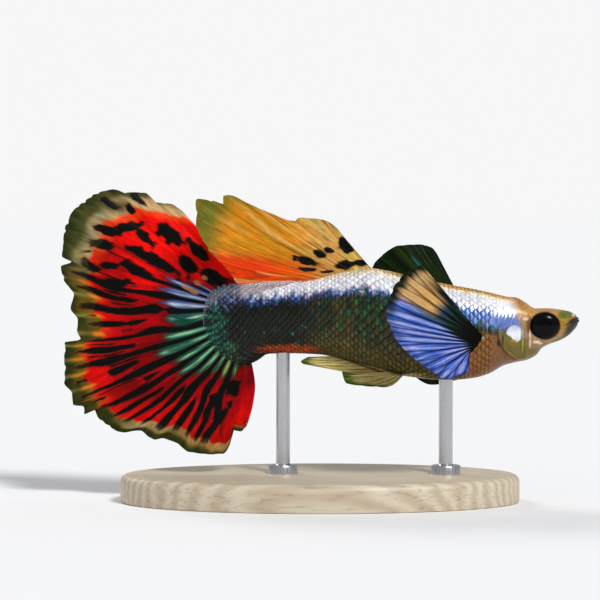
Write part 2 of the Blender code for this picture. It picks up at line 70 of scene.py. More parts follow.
def knotValue(knots, t):
    return smoothKnots(knots, t)[..., 0]


def step(low, high, value):
    s = np.clip((value - low) / (high - low), 0, 1)
    return s * s * (3 - 2 * s)


def bell(value, width):
    return np.exp(-((value / width) ** 2))


def hashed(i, j, seed):
    value = np.sin(i * 127.1 + j * 311.7 + seed * 74.7) * 43758.5453
    return value - np.floor(value)


def grain(p, q, seed):
    i, j = np.floor(p), np.floor(q)
    s, t = p - i, q - j
    s, t = s * s * (3 - 2 * s), t * t * (3 - 2 * t)
    low = hashed(i, j, seed) * (1 - s) + hashed(i + 1, j, seed) * s
    high = hashed(i, j + 1, seed) * (1 - s) + hashed(i + 1, j + 1, seed) * s
    return low * (1 - t) + high * t


def layered(p, q, seed):
    coarse, middling = grain(p, q, seed), grain(2.1 * p, 2.1 * q, seed + 1)
    return 0.55 * coarse + 0.3 * middling + 0.15 * grain(4.3 * p, 4.3 * q, seed + 2)


def srgb(red, green, blue):
    shown = np.array((red, green, blue))
    return np.where(shown <= 0.04045, shown / 12.92, ((shown + 0.055) / 1.055) ** 2.4)


def blend(under, over, share):
    return under + (over - under) * np.clip(share, 0, 1)[..., None]


def fill(tone, like):
    return tone + 0 * like[..., None]


def paintOver(under, *coats):
    for over, share in coats:
        under = blend(under, over, share)
    return under


# Mesh and material helpers

def plainMesh(name, points, faces, smooth=True):
    mesh = bpy.data.meshes.new(name)
    mesh.from_pydata((np.asarray(points) * mm).tolist(), [], [list(map(int, face)) for face in faces])
    mesh.validate()
    shell = bmesh.new()
    shell.from_mesh(mesh)
    if shell.calc_volume(signed=True) < 0:
        mesh.flip_normals()
    shell.free()
    if smooth:
        mesh.shade_smooth()
    made = bpy.data.objects.new(name, mesh)
    bpy.context.scene.collection.objects.link(made)
    return made


def gridFaces(rows, columns, start=0, closed=False, flip=False):
    r, c = np.meshgrid(np.arange(rows - 1), np.arange(columns if closed else columns - 1), indexing="ij")
    a = start + r * columns + c
    b = start + r * columns + (c + 1) % columns
    quads = np.stack([a, b, b + columns, a + columns], axis=-1).reshape(-1, 4)
    return quads[:, ::-1] if flip else quads


def setColours(made, name, values):
    rgba = np.ones((len(made.data.vertices), 4), np.float32)
    rgba[:, : values.shape[-1]] = values.reshape(-1, values.shape[-1])
    layer = made.data.attributes.new(name, "FLOAT_COLOR", "POINT")
    layer.data.foreach_set("color", rgba.ravel())


def setUv(made, name, perVertex):
    layer = made.data.uv_layers.new(name=name)
    corners = np.empty(len(made.data.loops), np.int32)
    made.data.loops.foreach_get("vertex_index", corners)
    layer.data.foreach_set("uv", perVertex[corners].astype(np.float32).ravel())


def node(tree, kind, **inputs):
    made = tree.nodes.new(kind)
    for name, value in inputs.items():
        made.inputs[name.replace("_", " ")].default_value = value
    return made


def mappedMaterial(name, source, stretch):
    material = bpy.data.materials.new(name)
    material.use_nodes = True
    tree = material.node_tree
    where = tree.nodes.new("ShaderNodeTexCoord")
    mapping = node(tree, "ShaderNodeMapping", Scale=stretch)
    tree.links.new(where.outputs[source], mapping.inputs["Vector"])
    return material, tree, tree.nodes["Principled BSDF"], mapping.outputs[0]


def textured(tree, vector, kind, **inputs):
    made = node(tree, kind, **inputs)
    tree.links.new(vector, made.inputs["Vector"])
    return made.outputs["Fac"]


def ranged(tree, value, **inputs):
    made = node(tree, "ShaderNodeMapRange", **inputs)
    tree.links.new(value, made.inputs["Value"])
    return made.outputs[0]


def ramped(tree, value, low, high, places=(0.0, 1.0)):
    made = tree.nodes.new("ShaderNodeValToRGB")
    for stop, position, colour in zip(made.color_ramp.elements, places, (low, high)):
        stop.position = position
        stop.color = (*colour, 1)
    tree.links.new(value, made.inputs["Fac"])
    return made.outputs["Color"]


def mixed(tree, share, under, over, how="MIX"):
    made = tree.nodes.new("ShaderNodeMix")
    made.data_type = "RGBA"
    made.blend_type = how
    for index, socket in ((0, share), (6, under), (7, over)):
        tree.links.new(socket, made.inputs[index])
    return made.outputs[2]


def brightened(tree, colour, factor):
    made = tree.nodes.new("ShaderNodeVectorMath")
    made.operation = "SCALE"
    tree.links.new(colour, made.inputs[0])
    tree.links.new(factor, made.inputs["Scale"])
    return made.outputs[0]


def bumped(tree, shader, height, strength, depth):
    made = node(tree, "ShaderNodeBump", Strength=strength, Distance=depth * mm)
    tree.links.new(height, made.inputs["Height"])
    tree.links.new(made.outputs[0], shader.inputs["Normal"])


# The attribute "marking" is the colour; "gloss" holds roughness, metallic and calmness.
def paintedMaterial(name, look):
    material, tree, shader, vector = mappedMaterial(name, look["from"], look["stretch"])
    marking, gloss = tree.nodes.new("ShaderNodeAttribute"), tree.nodes.new("ShaderNodeAttribute")
    marking.attribute_name, gloss.attribute_name = "marking", "gloss"
    painted = marking.outputs["Color"]
    split = tree.nodes.new("ShaderNodeSeparateColor")
    tree.links.new(gloss.outputs["Color"], split.inputs[0])
    roughness, metallic, calm = split.outputs

    speckle, hue, size = look["speckle"], look["hue"], look["noiseScale"]
    noise = textured(tree, vector, "ShaderNodeTexNoise", Scale=size, Detail=5.0, Roughness=0.6)
    spread = ranged(tree, noise, From_Min=0.3, From_Max=0.7, To_Min=1 - speckle, To_Max=1 + speckle)
    hueNoise = textured(tree, vector, "ShaderNodeTexNoise", Scale=size * 0.45, Detail=3.0)
    hues = ramped(tree, hueNoise, (1.9, 1.15, 0.6), (0.6, 1.3, 1.15), (0.38, 0.62))
    turned = mixed(tree, ranged(tree, calm, To_Min=hue, To_Max=hue * 0.15), painted, hues, "MULTIPLY")
    eased = mixed(tree, ranged(tree, calm, To_Max=0.6), brightened(tree, turned, spread), painted)
    tree.links.new(eased, shader.inputs["Base Color"])
    tree.links.new(roughness, shader.inputs["Roughness"])
    tree.links.new(metallic, shader.inputs["Metallic"])
    bumped(tree, shader, noise, look["bump"], look["bumpDepth"])
    shader.inputs["Coat Weight"].default_value = look["coat"]
    shader.inputs["Coat Roughness"].default_value = look["coatRoughness"]
    shader.inputs["Specular IOR Level"].default_value = look["specular"]
    return material


def place(piece, material, slot, *nodes):
    piece.data.materials.clear()
    piece.data.materials.append(material)
    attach(piece, "root")
    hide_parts(*nodes)


# Body shape: the back's height, the belly's height and the half width at each x

body = {
    "knots": (
        (25.85, (18.32, 18.04, 0.26)),
        (25.70, (18.62, 17.66, 0.66)),
        (25.40, (18.88, 17.25, 0.98)),
        (24.90, (19.12, 16.75, 1.30)),
        (24.00, (19.28, 16.22, 1.70)),
        (22.90, (19.40, 15.82, 2.12)),
        (22.20, (19.40, 15.45, 2.30)),
        (21.60, (19.38, 14.72, 2.40)),
        (20.50, (20.04, 14.20, 2.56)),
        (19.60, (20.50, 14.06, 2.68)),
        (18.50, (20.60, 13.80, 2.80)),
        (17.00, (20.93, 12.98, 2.93)),
        (15.50, (21.25, 12.52, 3.03)),
        (13.50, (21.62, 12.32, 3.08)),
        (11.50, (22.00, 12.34, 3.05)),
        (9.50, (22.42, 12.56, 2.94)),
        (7.00, (23.06, 12.96, 2.70)),
        (4.80, (23.38, 13.64, 2.40)),
        (2.50, (23.08, 14.32, 2.08)),
        (0.00, (22.54, 14.84, 1.76)),
        (-3.00, (22.20, 14.96, 1.42)),
        (-5.20, (22.03, 14.88, 1.20)),
        (-6.30, (21.95, 14.20, 1.08)),
        (-7.50, (21.90, 13.65, 0.94)),
    ),
    "stemEndX": -7.5,
    "stemEndLength": 4.2,
    "stemEdgeHalf": 0.06,
    "stemSquare": (3.5, 2.0),
    "eyeSquare": 3.4,
    "backSquare": 2.2,
    "bendStartX": 8.0,
    "bend": 0.0036,
    "snoutX": 25.85,
    "around": 240,
}
stemBack, stemBelly, stemHalf = body["knots"][-1][1]
eye = {"middle": (22.38, 1.66, 17.80), "half": (1.46, 0.98, 1.32), "rim": 0.29, "dome": 0.67, "depth": 1.0}


def spineY(x):
    return body["bend"] * np.maximum(0, body["bendStartX"] - x) ** 2


def bodyAt(x):
    x = np.asarray(x, float)
    back, belly, half = np.moveaxis(smoothKnots(body["knots"], x), -1, 0)
    share = np.clip((body["stemEndX"] - x) / body["stemEndLength"], 0, 1)
    middle, height = (stemBack + stemBelly) / 2, (stemBack - stemBelly) / 2
    up, down = ((1 - share**power) ** (1 / power) * height for power in body["stemSquare"])
    rear = x < body["stemEndX"]
    return (
        np.where(rear, middle + up, back),
        np.where(rear, middle - down, belly),
        np.where(rear, body["stemEdgeHalf"] + (stemHalf - body["stemEdgeHalf"]) * (1 - share) ** 1.3, half),
    )


def squareness(x):
    return body["backSquare"] + (body["eyeSquare"] - body["backSquare"]) * bell(x - eye["middle"][0], 2.6)


def bodyPoint(x, turn, scale=1.0):
    back, belly, half = bodyAt(x)
    widest = (back + belly) / 2
    across, up = np.cos(turn), np.sin(turn)
    power = np.where(up > 0, 2 / squareness(x), 1.0)
    thinned = power + 0.9 * step(-5.5, -9.5, x)
    y = np.copysign(np.abs(across) ** thinned, across) * half * scale
    z = np.copysign(np.abs(up) ** power, up) * (back - belly) / 2 * scale
    return np.stack([x + 0 * turn, spineY(x) + y, widest + z], axis=-1)


def fanPlace(x, z):
    across = (x - body["stemEndX"]) / body["stemEndLength"]
    up = (z - (stemBack + stemBelly) / 2) / ((stemBack - stemBelly) / 2)
    power = np.where(up > 0, body["stemSquare"][0], body["stemSquare"][1]) / 2
    turn = np.degrees(np.arctan2(np.abs(up) ** power, -np.abs(across) ** power))
    turn = np.where(up > 0, turn, 360 - turn)
    reach = (np.abs(across) ** (2 * power) + np.abs(up) ** (2 * power)) ** (0.5 / power)
    return turn, reach


def skinY(x, z):
    back, belly, half = bodyAt(x)
    widest = (back + belly) / 2
    above = z > widest
    share = np.clip(np.abs(z - widest) / ((back - belly) / 2), 0, 1)
    power = np.where(above, squareness(x), 2.0)
    return half * (1 - share**power) ** (1 / power)


# Markings shared by the skin and the scales, painted highlights and painted shadow among them

tones = {
    "black": srgb(0.035, 0.035, 0.03),
    "flank": srgb(0.12, 0.14, 0.08),
    "flankBrown": srgb(0.27, 0.20, 0.10),
    "straw": srgb(0.64, 0.56, 0.32),
    "green": srgb(0.12, 0.32, 0.16),
    "teal": srgb(0.08, 0.36, 0.36),
    "blue": srgb(0.40, 0.50, 0.80),
    "deepBlue": srgb(0.22, 0.32, 0.62),
    "silver": srgb(0.95, 0.95, 0.99),
    "silverBlue": srgb(0.50, 0.58, 0.82),
    "glintTeal": srgb(0.12, 0.42, 0.36),
    "cream": srgb(0.97, 0.90, 0.70),
    "gold": srgb(0.80, 0.58, 0.20),
    "breast": srgb(0.47, 0.30, 0.14),
    "rust": srgb(0.56, 0.22, 0.06),
    "oliveBelly": srgb(0.27, 0.24, 0.11),
    "forehead": srgb(0.70, 0.50, 0.24),
    "ochre": srgb(0.60, 0.44, 0.12),
    "olive": srgb(0.42, 0.37, 0.12),
    "leaf": srgb(0.27, 0.38, 0.07),
    "lip": srgb(0.045, 0.05, 0.03),
    "white": srgb(0.97, 0.96, 0.94),
    "cheek": srgb(0.60, 0.44, 0.25),
    "brown": srgb(0.36, 0.20, 0.10),
    "stripe": srgb(0.62, 0.62, 0.22),
    "glintMoss": srgb(0.20, 0.30, 0.16),
}


def spot(x, z, middle, size, soft=0.35):
    reach = np.sqrt(((x - middle[0]) / size[0]) ** 2 + ((z - middle[1]) / size[1]) ** 2)
    return 1 - step(1 - soft, 1 + soft, reach)


# Marks on the body: places as x and height, sizes, and how soft their edges are
marks = {
    "seeds": (11.0, 3.0),
    "strokeLean": 0.22,
    "fold": ((-0.5, 14.95), (0.3, 14.72), (5.6, 13.62), (7.2, 13.12), (8.6, 13.0), (10.8, 13.15)),
    "silverFoot": ((-9, 1.2), (-4, 1.35), (2, 1.5), (6, 1.9), (10, 1.8), (14, 1.5), (19.8, 1.8)),
    "blueFoot": ((-9, 2.0), (-4, 1.9), (2, 2.1), (6, 2.5), (10, 2.9), (14, 3.2), (19.8, 3.2)),
    "rust": ((-3.1, 15.35), (2.9, 0.42), 0.45),
    "goldSpot": ((15.15, 16.15), (0.42, 0.3)),
    "whiteSpot": ((15.95, 16.65), (0.26, 0.14)),
    "greenPatch": ((24.45, 18.85), (0.75, 0.38)),
    "behindEye": ((20.85, 17.8), (0.35, 0.85)),
    "underEye": ((22.2, 16.1), (1.3, 0.26)),
    "gillPatch": ((19.3, 17.0), (0.80, 0.84), 0.14),
    "gillGold": ((19.75, 16.35), (0.75, 0.16)),
    "gillStripe": ((20.16, 16.5), (0.12, 1.3)),
    "gillShade": ((19.99, 16.4), (0.06, 1.05)),
    # Painted shadow under the free edge of the gill cover.
    "gillEdgeShadows": (((17.72, 16.1), (0.18, 0.36)), ((18.15, 16.35), (0.10, 0.6))),
    # Painted highlights on the head.
    "glints": (
        ((20.88, 16.95), (0.08, 0.36)), ((20.88, 16.05), (0.08, 0.42)), ((20.45, 18.5), (0.24, 0.14)),
        ((21.55, 16.18), (0.32, 0.12)), ((21.95, 16.02), (0.22, 0.08)),
    ),
    "snoutSpot": ((25.30, 18.80), (0.15, 0.12)),
}


def bodyMarking(x, z, side):
    back, belly, _ = bodyAt(x)
    depth = back - z
    share = depth / np.maximum(back - belly, 0.5)
    seed = np.where(side > 0, *marks["seeds"])
    lean = x - marks["strokeLean"] * z
    strokes = layered(lean * 5.5, z * 0.9, seed)
    fine = layered(lean * 14, z * 1.6, seed + 5)
    patches = layered(x * 0.9, z * 0.7, seed + 9)
    browns = layered(lean * 4.2, z * 0.7, seed + 30)
    jitter = (strokes - 0.5) * 1.9
    fold = knotValue(marks["fold"], x)
    onFold = step(-0.4, 0.6, x) * step(10.8, 9.8, x)
    flank = paintOver(
        fill(tones["flank"], x),
        (tones["black"], step(2.0, -3.0, x) * 0.8),
        (tones["flankBrown"], step(0.5, 0.72, browns) * step(-3.0, 2.0, x) * 0.75),
        (tones["green"], step(0.56, 0.78, strokes) * step(-2.0, 4.0, x) * 0.85),
        (tones["teal"], step(0.66, 0.8, fine) * step(0.45, 0.6, patches) * 0.7),
        (tones["oliveBelly"], step(0.62, 0.86, share + jitter * 0.12) * step(-2.5, 2.0, x)),
        (tones["rust"], spot(x, z + jitter * 0.25, *marks["rust"])),
        (tones["straw"] * (0.6 + 0.7 * fine)[..., None], step(0.05, -0.12, z - fold) * onFold * 0.9),
        (tones["black"], bell(z - fold - 0.02 * jitter, 0.10) * onFold * 0.9),
    )
    banded = backBands(flank, x, depth, jitter, fine)
    glinting = stemGlints(banded, x, z, fine, seed)
    breast = step(14.0, 14.6, x) * step(17.55, 17.05, z + 0.25 * (x - 16))
    breasted = paintOver(
        glinting,
        (tones["breast"] * (0.8 + 0.4 * fine)[..., None], breast),
        (tones["gold"], spot(x, z, *marks["goldSpot"]) * 0.9),
        (tones["white"], spot(x, z, *marks["whiteSpot"])),
    )
    return headMarking(breasted, x, z, fine)


def backBands(colour, x, depth, jitter, fine):
    silverFoot, blueFoot = knotValue(marks["silverFoot"], x), knotValue(marks["blueFoot"], x)
    blueTone = blend(fill(tones["deepBlue"], x), tones["blue"], step(5, 13, x))
    blueBand = 1 - step(blueFoot - 0.35, blueFoot + 0.4, depth + jitter)
    blueBand = blueBand * (0.55 + 0.45 * step(0.3, 0.6, fine))
    silverBand = 1 - step(silverFoot - 0.25, silverFoot + 0.35, depth + jitter * 0.9)
    creamTop = silverBand * step(0.75, 0.1, depth + jitter * 0.3) * step(-3, 5, x) * 0.85
    return paintOver(
        colour,
        (blueTone, blueBand),
        (tones["silver"] * (0.84 + 0.28 * fine)[..., None], silverBand),
        (tones["cream"], creamTop),
        (tones["gold"] * 0.8, (1 - step(0.1, 0.34, depth + jitter * 0.1)) * step(3, 9, x)),
    )


# Painted glints on the root of the tail: bright silver-blue, teal and moss specks and streaks on black,
# standing for light caught by the scales.
def stemGlints(colour, x, z, fine, seed):
    turn, reach = fanPlace(x, z)
    u = (turn - tail["turns"][0]) / (tail["turns"][1] - tail["turns"][0])
    rootFan = step(0.25, 0.8, reach) * step(-7.2, -9.0, x)
    cell = u * tail["rays"] + 0.5
    streak = bell(np.abs(cell - np.floor(cell) - 0.5), 0.16)
    scatter = step(0.50, 0.68, layered(u * 40, reach * 7, seed + 20))
    glints = np.maximum(streak * step(0.45, 0.8, reach), scatter * step(1.0, 0.6, reach)) * step(0.99, 0.9, u)
    glintTone = paintOver(
        fill(tones["silverBlue"], x),
        (tones["glintTeal"], step(0.22, 0.42, u)),
        (tones["glintMoss"], step(0.7, 0.85, u)),
    )
    return paintOver(
        colour,
        (tones["black"], rootFan * (0.55 + 0.3 * step(0.6, 1.0, reach))),
        (glintTone * (0.6 + 0.7 * fine)[..., None], rootFan * glints),
    )


def headMarking(colour, x, z, fine):
    _, belly, _ = bodyAt(x)
    mottle = layered(x * 3.6, z * 3.6, 41.0)
    browns = step(0.54, 0.78, layered(x * 1.6, z * 1.6, 43.0)) * step(23.4, 22.4, x)
    tan = paintOver(
        fill(tones["forehead"], x),
        (tones["cheek"], step(19.0, 17.2, z)),
        (tones["ochre"], step(23.2, 24.2, x)),
    )
    tan = paintOver(
        tan * (0.72 + 0.38 * mottle + 0.18 * fine)[..., None],
        (tones["brown"], browns * 0.45),
        (tones["olive"], step(15.9, 15.0, z - 0.35 * (x - 21)) * step(25, 22, x)),
        (tones["leaf"], step(0.55, 0.1, z - belly) * step(20.4, 21.2, x) * 0.7),
        (tones["ochre"] * 0.72, step(24.2, 22.4, x) * step(0.9, 0.35, z - belly) * 0.3),
    )
    colour = paintOver(
        colour,
        (tan, step(19.2, 20.4, x + 0.35 * (z - 18.2))),
        (tones["leaf"], spot(x, z, *marks["greenPatch"]) * 0.85),
        (tones["brown"], spot(x, z, *marks["behindEye"]) * 0.8),
        (tones["cheek"] * 1.15, spot(x, z, *marks["underEye"]) * 0.6),
    )
    colour = gillMarking(colour, x, z, fine, mottle)
    # Painted highlights: small white glints on the cheek and gill cover.
    for glint in marks["glints"]:
        colour = blend(colour, tones["white"], spot(x, z, *glint, 0.7) * (0.45 + 0.5 * fine))
    along, over = mouthPlace(x, z)
    return paintOver(
        colour,
        (tones["lip"], step(24.45, 25.0, x + 0.35 * (18.0 - z)) * step(0.2, 0.06, over) * 0.93),
        (tones["lip"], bell(over - 0.14, 0.09) * step(0.2, 0.7, along) * 0.7),
        # Along the mouth line the lip tone is painted shade in the gap between the lips.
        (tones["lip"], bell(over, 0.07) * step(-0.2, 0.1, along)),
        (tones["white"] * 0.8, spot(x, z, *marks["snoutSpot"]) * 0.8),
    )


def gillMarking(colour, x, z, fine, mottle):
    over, _, cover = gillPlace(x, z)
    onCover = np.where(over < 0, step(1.04, 0.98, cover), step(1.3, 0.4, over))
    onCover = onCover * step(17.0, 16.2, z + 0.5 * (x - 19.5))
    silverEdge = z - 16.7 + 0.95 * (x - 19.0)
    shell = spot(x, z, *marks["gillPatch"]) * step(-0.12, 0.02, silverEdge + 0.25 * (mottle - 0.5))
    gillShadows = sum(spot(x, z, *slot) for slot in marks["gillEdgeShadows"])
    return paintOver(
        colour,
        (tones["olive"] * (0.95 + 0.5 * fine)[..., None], onCover * 0.9),
        (tones["silver"] * (0.84 + 0.2 * fine)[..., None], shell),
        (tones["silverBlue"], shell * step(17.2, 17.8, z + 0.5 * (mottle - 0.5)) * 0.45),
        (tones["gold"] * 0.8, spot(x, z, *marks["gillGold"]) * step(0.3, 0.0, silverEdge) * 0.7),
        (tones["stripe"], spot(x, z, *marks["gillStripe"]) * (0.5 + 0.5 * fine)),
        (tones["brown"] * 0.5, spot(x, z, *marks["gillShade"]) * 0.7),
        # Painted shadow under the gill cover's free edge.
        (tones["black"], np.clip(gillShadows, 0, 1) * 0.85),
    )


# Relief of the skin: mouth, nostrils, gill cover, rims round the eyes

mouth = {
    "corner": (24.42, 17.86), "front": (26.2, 18.50), "groove": 0.045, "depth": 0.19,
    "lip": 0.055, "lipWidth": 0.14,
}
nostrils = (((24.35, 18.78), (0.11, 0.08), 0.14), ((23.92, 19.02), (0.05, 0.13), 0.1))
gill = {"middle": (19.35, 16.5), "half": (1.5, 2.0), "lean": 0.3, "proud": 0.15, "groove": 0.2}
pores = (
    (20.9, 19.35), (21.6, 19.12), (23.55, 18.6), (23.9, 17.5),
    (23.5, 16.75), (22.7, 16.3), (21.6, 16.1), (20.75, 15.7),
)


# Pairs are a line's width and its height or depth; the brow's first value is its place round the eye.
relief = {
    "lipWidth": 0.1, "mouthFold": (0.06, 0.08), "mouthPad": (0.1, 0.035), "nostrilRim": 0.04,
    "pore": (0.07, 0.05), "cheekRise": (0.12, 0.05), "cheekGroove": (0.06, 0.05), "jawGroove": (0.09, 0.06),
    "brow": (1.30, 0.09, 0.05),
}


def mouthPlace(x, z):
    (cornerX, cornerZ), (frontX, frontZ) = mouth["corner"], mouth["front"]
    length = math.hypot(frontX - cornerX, frontZ - cornerZ)
    ahead, rise = (frontX - cornerX) / length, (frontZ - cornerZ) / length
    along = (x - cornerX) * ahead + (z - cornerZ) * rise
    over = (z - cornerZ) * ahead - (x - cornerX) * rise - 0.10 * np.sin(np.pi * np.clip(along / length, 0, 1))
    return along, over


def gillPlace(x, z):
    up = (z - gill["middle"][1]) / gill["half"][1]
    over = (x - gill["middle"][0] + gill["lean"] * (z - gill["middle"][1])) / gill["half"][0]
    return over, up, np.hypot(over, up)


def gillReach(x, z):
    over, _, reach = gillPlace(x, z)
    return np.where(over > 0.2, 1.0, reach)


def reliefAt(x, z, sideShare):
    eyeX, _, eyeZ = eye["middle"]
    lift = np.zeros_like(x)
    along, over = mouthPlace(x, z)
    tip = step(26.0, 25.6, x)
    lips = bell(np.abs(over) - mouth["lipWidth"], relief["lipWidth"])
    lips = lips * step(-0.2, 0.3, along) * (0.25 + 0.75 * tip)
    lift += lips * mouth["lip"] * np.where(over < 0, 1.3, 0.8)
    lift -= bell(over, mouth["groove"]) * step(-0.12, 0.15, along) * mouth["depth"] * (0.4 + 0.6 * tip)
    fold = x - (mouth["corner"][0] - 0.12) + 0.45 * (z - mouth["corner"][1])
    width, depth = relief["mouthFold"]
    lift -= bell(fold, width) * step(16.9, 17.3, z) * step(18.05, 17.8, z) * depth
    width, height = relief["mouthPad"]
    lift += bell(fold - 0.16, width) * step(17.0, 17.4, z) * step(18.2, 17.9, z) * height
    for middle, size, depth in nostrils:
        reach = np.sqrt(((x - middle[0]) / size[0]) ** 2 + ((z - middle[1]) / size[1]) ** 2)
        lift += (bell(reach - 1.5, 0.5) * relief["nostrilRim"] - bell(reach, 0.95) * depth) * sideShare
    width, depth = relief["pore"]
    for middle in pores:
        reach = np.hypot(x - middle[0], z - middle[1])
        lift -= bell(reach, width) * depth * sideShare
    over, up, reach = gillPlace(x, z)
    rear = step(0.55, -0.1, over) * step(0.15, 0.5, sideShare) * (1 - 0.8 * step(0.0, 0.6, up))
    lift += gill["proud"] * step(0.3, 0.95, reach) * step(1.03, 0.98, reach) * rear
    lift -= gill["groove"] * bell(reach - 1.07, 0.05) * rear
    cheekLine = 20.25 + 0.09 * (z - 16.6) ** 2
    width, height = relief["cheekRise"]
    lift += height * bell(x - cheekLine + 0.1, width) * step(14.9, 15.5, z) * step(18.0, 17.4, z) * sideShare
    width, depth = relief["cheekGroove"]
    lift -= depth * bell(x - cheekLine - 0.06, width) * step(14.9, 15.5, z) * step(18.0, 17.4, z) * sideShare
    jawLine = z - 15.55 - 0.30 * (x - 21.2)
    width, depth = relief["jawGroove"]
    lift -= depth * bell(jawLine, width) * step(20.6, 21.2, x) * step(24.4, 23.6, x)
    ring = np.hypot((x - eyeX) / eye["half"][0], (z - eyeZ) / eye["half"][2])
    middle, width, height = relief["brow"]
    lift += height * bell(ring - middle, width) * sideShare
    return lift, ring


# Spacing of the skin's rings, and how deep the eye sockets and the bed of the scales lie
skinDetail = {
    "snoutRound": 0.09, "snoutRings": 6, "snoutTip": 0.02, "headSpacing": 0.045, "headEndX": 17.5,
    "bodySpacing": 0.15,
    "stemRings": 24, "lastStemTurn": 88, "eyeRimY": 2.12, "socketDepth": 1.15, "rimFade": 0.26,
    "scaleBed": 0.05,
    "roughness": 0.42, "paleSmoother": 0.14, "paleMetal": 0.28, "grooveShade": 0.75,
}


def makeSkin():
    turns = np.linspace(0, 2 * np.pi, body["around"], endpoint=False)
    tip = np.linspace(0, 1, skinDetail["snoutRings"])[:-1] * np.pi / 2
    stemTurns = np.radians(np.linspace(0, skinDetail["lastStemTurn"], skinDetail["stemRings"]))
    places = np.concatenate([
        body["snoutX"] + skinDetail["snoutRound"] * np.cos(tip),
        np.arange(body["snoutX"], skinDetail["headEndX"], -skinDetail["headSpacing"]),
        np.arange(skinDetail["headEndX"], body["stemEndX"], -skinDetail["bodySpacing"]),
        body["stemEndX"] - body["stemEndLength"] * np.sin(stemTurns),
    ])
    sizes = np.concatenate([np.sin(tip) + skinDetail["snoutTip"], np.ones(len(places) - len(tip))])
    x, turn = np.meshgrid(places, turns, indexing="ij")
    points = bodyPoint(x, turn, sizes[:, None])
    side = np.where(np.cos(turn) > 0, 1.0, -1.0)
    _, _, half = bodyAt(x)
    sideShare = step(0.25, 0.8, np.abs(points[..., 1] - spineY(x)) / np.maximum(half * sizes[:, None], 0.05))
    lift, ring = reliefAt(points[..., 0], points[..., 2], sideShare)

    pull = np.where(ring > 1, bell(ring - 1, skinDetail["rimFade"]), 1.0) * sideShare
    sunk = skinDetail["eyeRimY"] - skinDetail["socketDepth"] * step(1.02, 0.86, ring)
    flatY = np.abs(points[..., 1] - spineY(x))
    points[..., 1] = spineY(x) + side * (flatY + (sunk - flatY) * pull)

    scaled = step(20.2, 19.0, x) * step(1.0, 1.12, gillReach(points[..., 0], points[..., 2]))
    normals = gridNormals(points, closed=True)
    points = points + normals * (lift - skinDetail["scaleBed"] * scaled)[..., None]

    rows, columns = x.shape
    vertices = points.reshape(-1, 3)
    faces = list(gridFaces(rows, columns, closed=True))
    front, rear = len(vertices), len(vertices) + 1
    vertices = np.vstack([vertices, points[0].mean(0) + (0.004, 0, 0), points[-1].mean(0)])
    faces += [(front, (c + 1) % columns, c) for c in range(columns)]
    last = (rows - 1) * columns
    faces += [(rear, last + c, last + (c + 1) % columns) for c in range(columns)]
    skin = plainMesh("skin", vertices, faces)
    colour = bodyMarking(vertices[:, 0], vertices[:, 2], np.sign(vertices[:, 1] - spineY(vertices[:, 0])))
    grooves = step(-0.06, -0.2, np.append(lift.ravel(), (0, 0)))
    colour = colour * (1 - skinDetail["grooveShade"] * grooves)[:, None]
    # Painted shade: a dark ring on the skin round each eye socket.
    eyeRimShade = np.append((bell(ring - 1.03, 0.06) * sideShare).ravel(), (0, 0))
    colour = blend(colour, tones["brown"] * 0.4, eyeRimShade * 0.8)
    setColours(skin, "marking", colour)
    pale = step(0.25, 0.6, colour.mean(axis=1))
    roughness = skinDetail["roughness"] - skinDetail["paleSmoother"] * pale
    setColours(skin, "gloss", np.stack([roughness, skinDetail["paleMetal"] * pale, pale], axis=-1))
    material = paintedMaterial("moist skin", {
        "from": "Object", "stretch": (1, 1, 1), "noiseScale": 5200, "speckle": 0.26, "bump": 0.35,
        "bumpDepth": 0.03,
        "coat": 0.2, "coatRoughness": 0.2, "specular": 0.3, "hue": 0.18,
    })
    covers = ("gill_cover_right", "gill_cover_left")
    place(skin, material, "body_skin", "head", "lower_jaw", *covers, "trunk", "tail_stem")
    return skin


def gridNormals(points, closed=False):
    if closed:
        around = np.roll(points, -1, axis=1) - np.roll(points, 1, axis=1)
    else:
        around = np.gradient(points, axis=1)
    normals = np.cross(around, np.gradient(points, axis=0))
    return normals / np.maximum(np.linalg.norm(normals, axis=-1, keepdims=True), 1e-9)


# Scales: thin overlapping plates laid on the skin by a node tree

scales = {
    "rowsPerSide": 16,
    "frontX": 20.1,
    "rearX": -11.4,
    "pitch": 0.103,
    "length": 2.5,
    "width": 1.2,
    "thickness": 0.022,
    "rise": 0.05,
    "lift": 1.0,
    "flat": 0.75,
    "seed": 5,
    "plateRows": 4,
    "plateColumns": 7,
    "sizeSpread": 0.05,
    "toneSpread": 0.4,
    "mapPatch": 0.003,
}


def scalePlate():
    across01 = np.sin(np.pi / 2 * np.linspace(-1, 1, scales["plateColumns"]))
    a, b = np.meshgrid(np.linspace(0, 1, scales["plateRows"]), across01, indexing="ij")
    reach = 0.42 + 0.58 * np.sqrt(np.maximum(0, 1 - b * b))
    x, y = 0.5 - a * reach, b * 0.5
    lift = -0.035 + scales["rise"] * a**1.3 + 0.02 * (1 - b * b)
    top = np.stack([x, y, 0 * x], axis=-1).reshape(-1, 3)
    rows, columns = a.shape
    count = len(top)
    edge = list(range(columns)) + [r * columns + columns - 1 for r in range(1, rows)]
    edge += [(rows - 1) * columns + c for c in range(columns - 2, -1, -1)]
    edge += [r * columns for r in range(rows - 2, 0, -1)]
    faces = list(gridFaces(rows, columns, flip=True)) + list(gridFaces(rows, columns, start=count))
    for i, first in enumerate(edge):
        second = edge[(i + 1) % len(edge)]
        faces.append((first, second, second + count, first + count))
    plate = plainMesh("scale plate", np.vstack([top, top]) / mm, faces)
    for name, values in (
        ("lift", np.concatenate([lift.ravel(), lift.ravel() - scales["thickness"]]) * mm),
        ("alongPlate", np.tile(a.ravel(), 2)),
        ("acrossPlate", np.tile(b.ravel(), 2)),
    ):
        plate.data.attributes.new(name, "FLOAT", "POINT").data.foreach_set("value", values.astype(np.float32))
    return plate


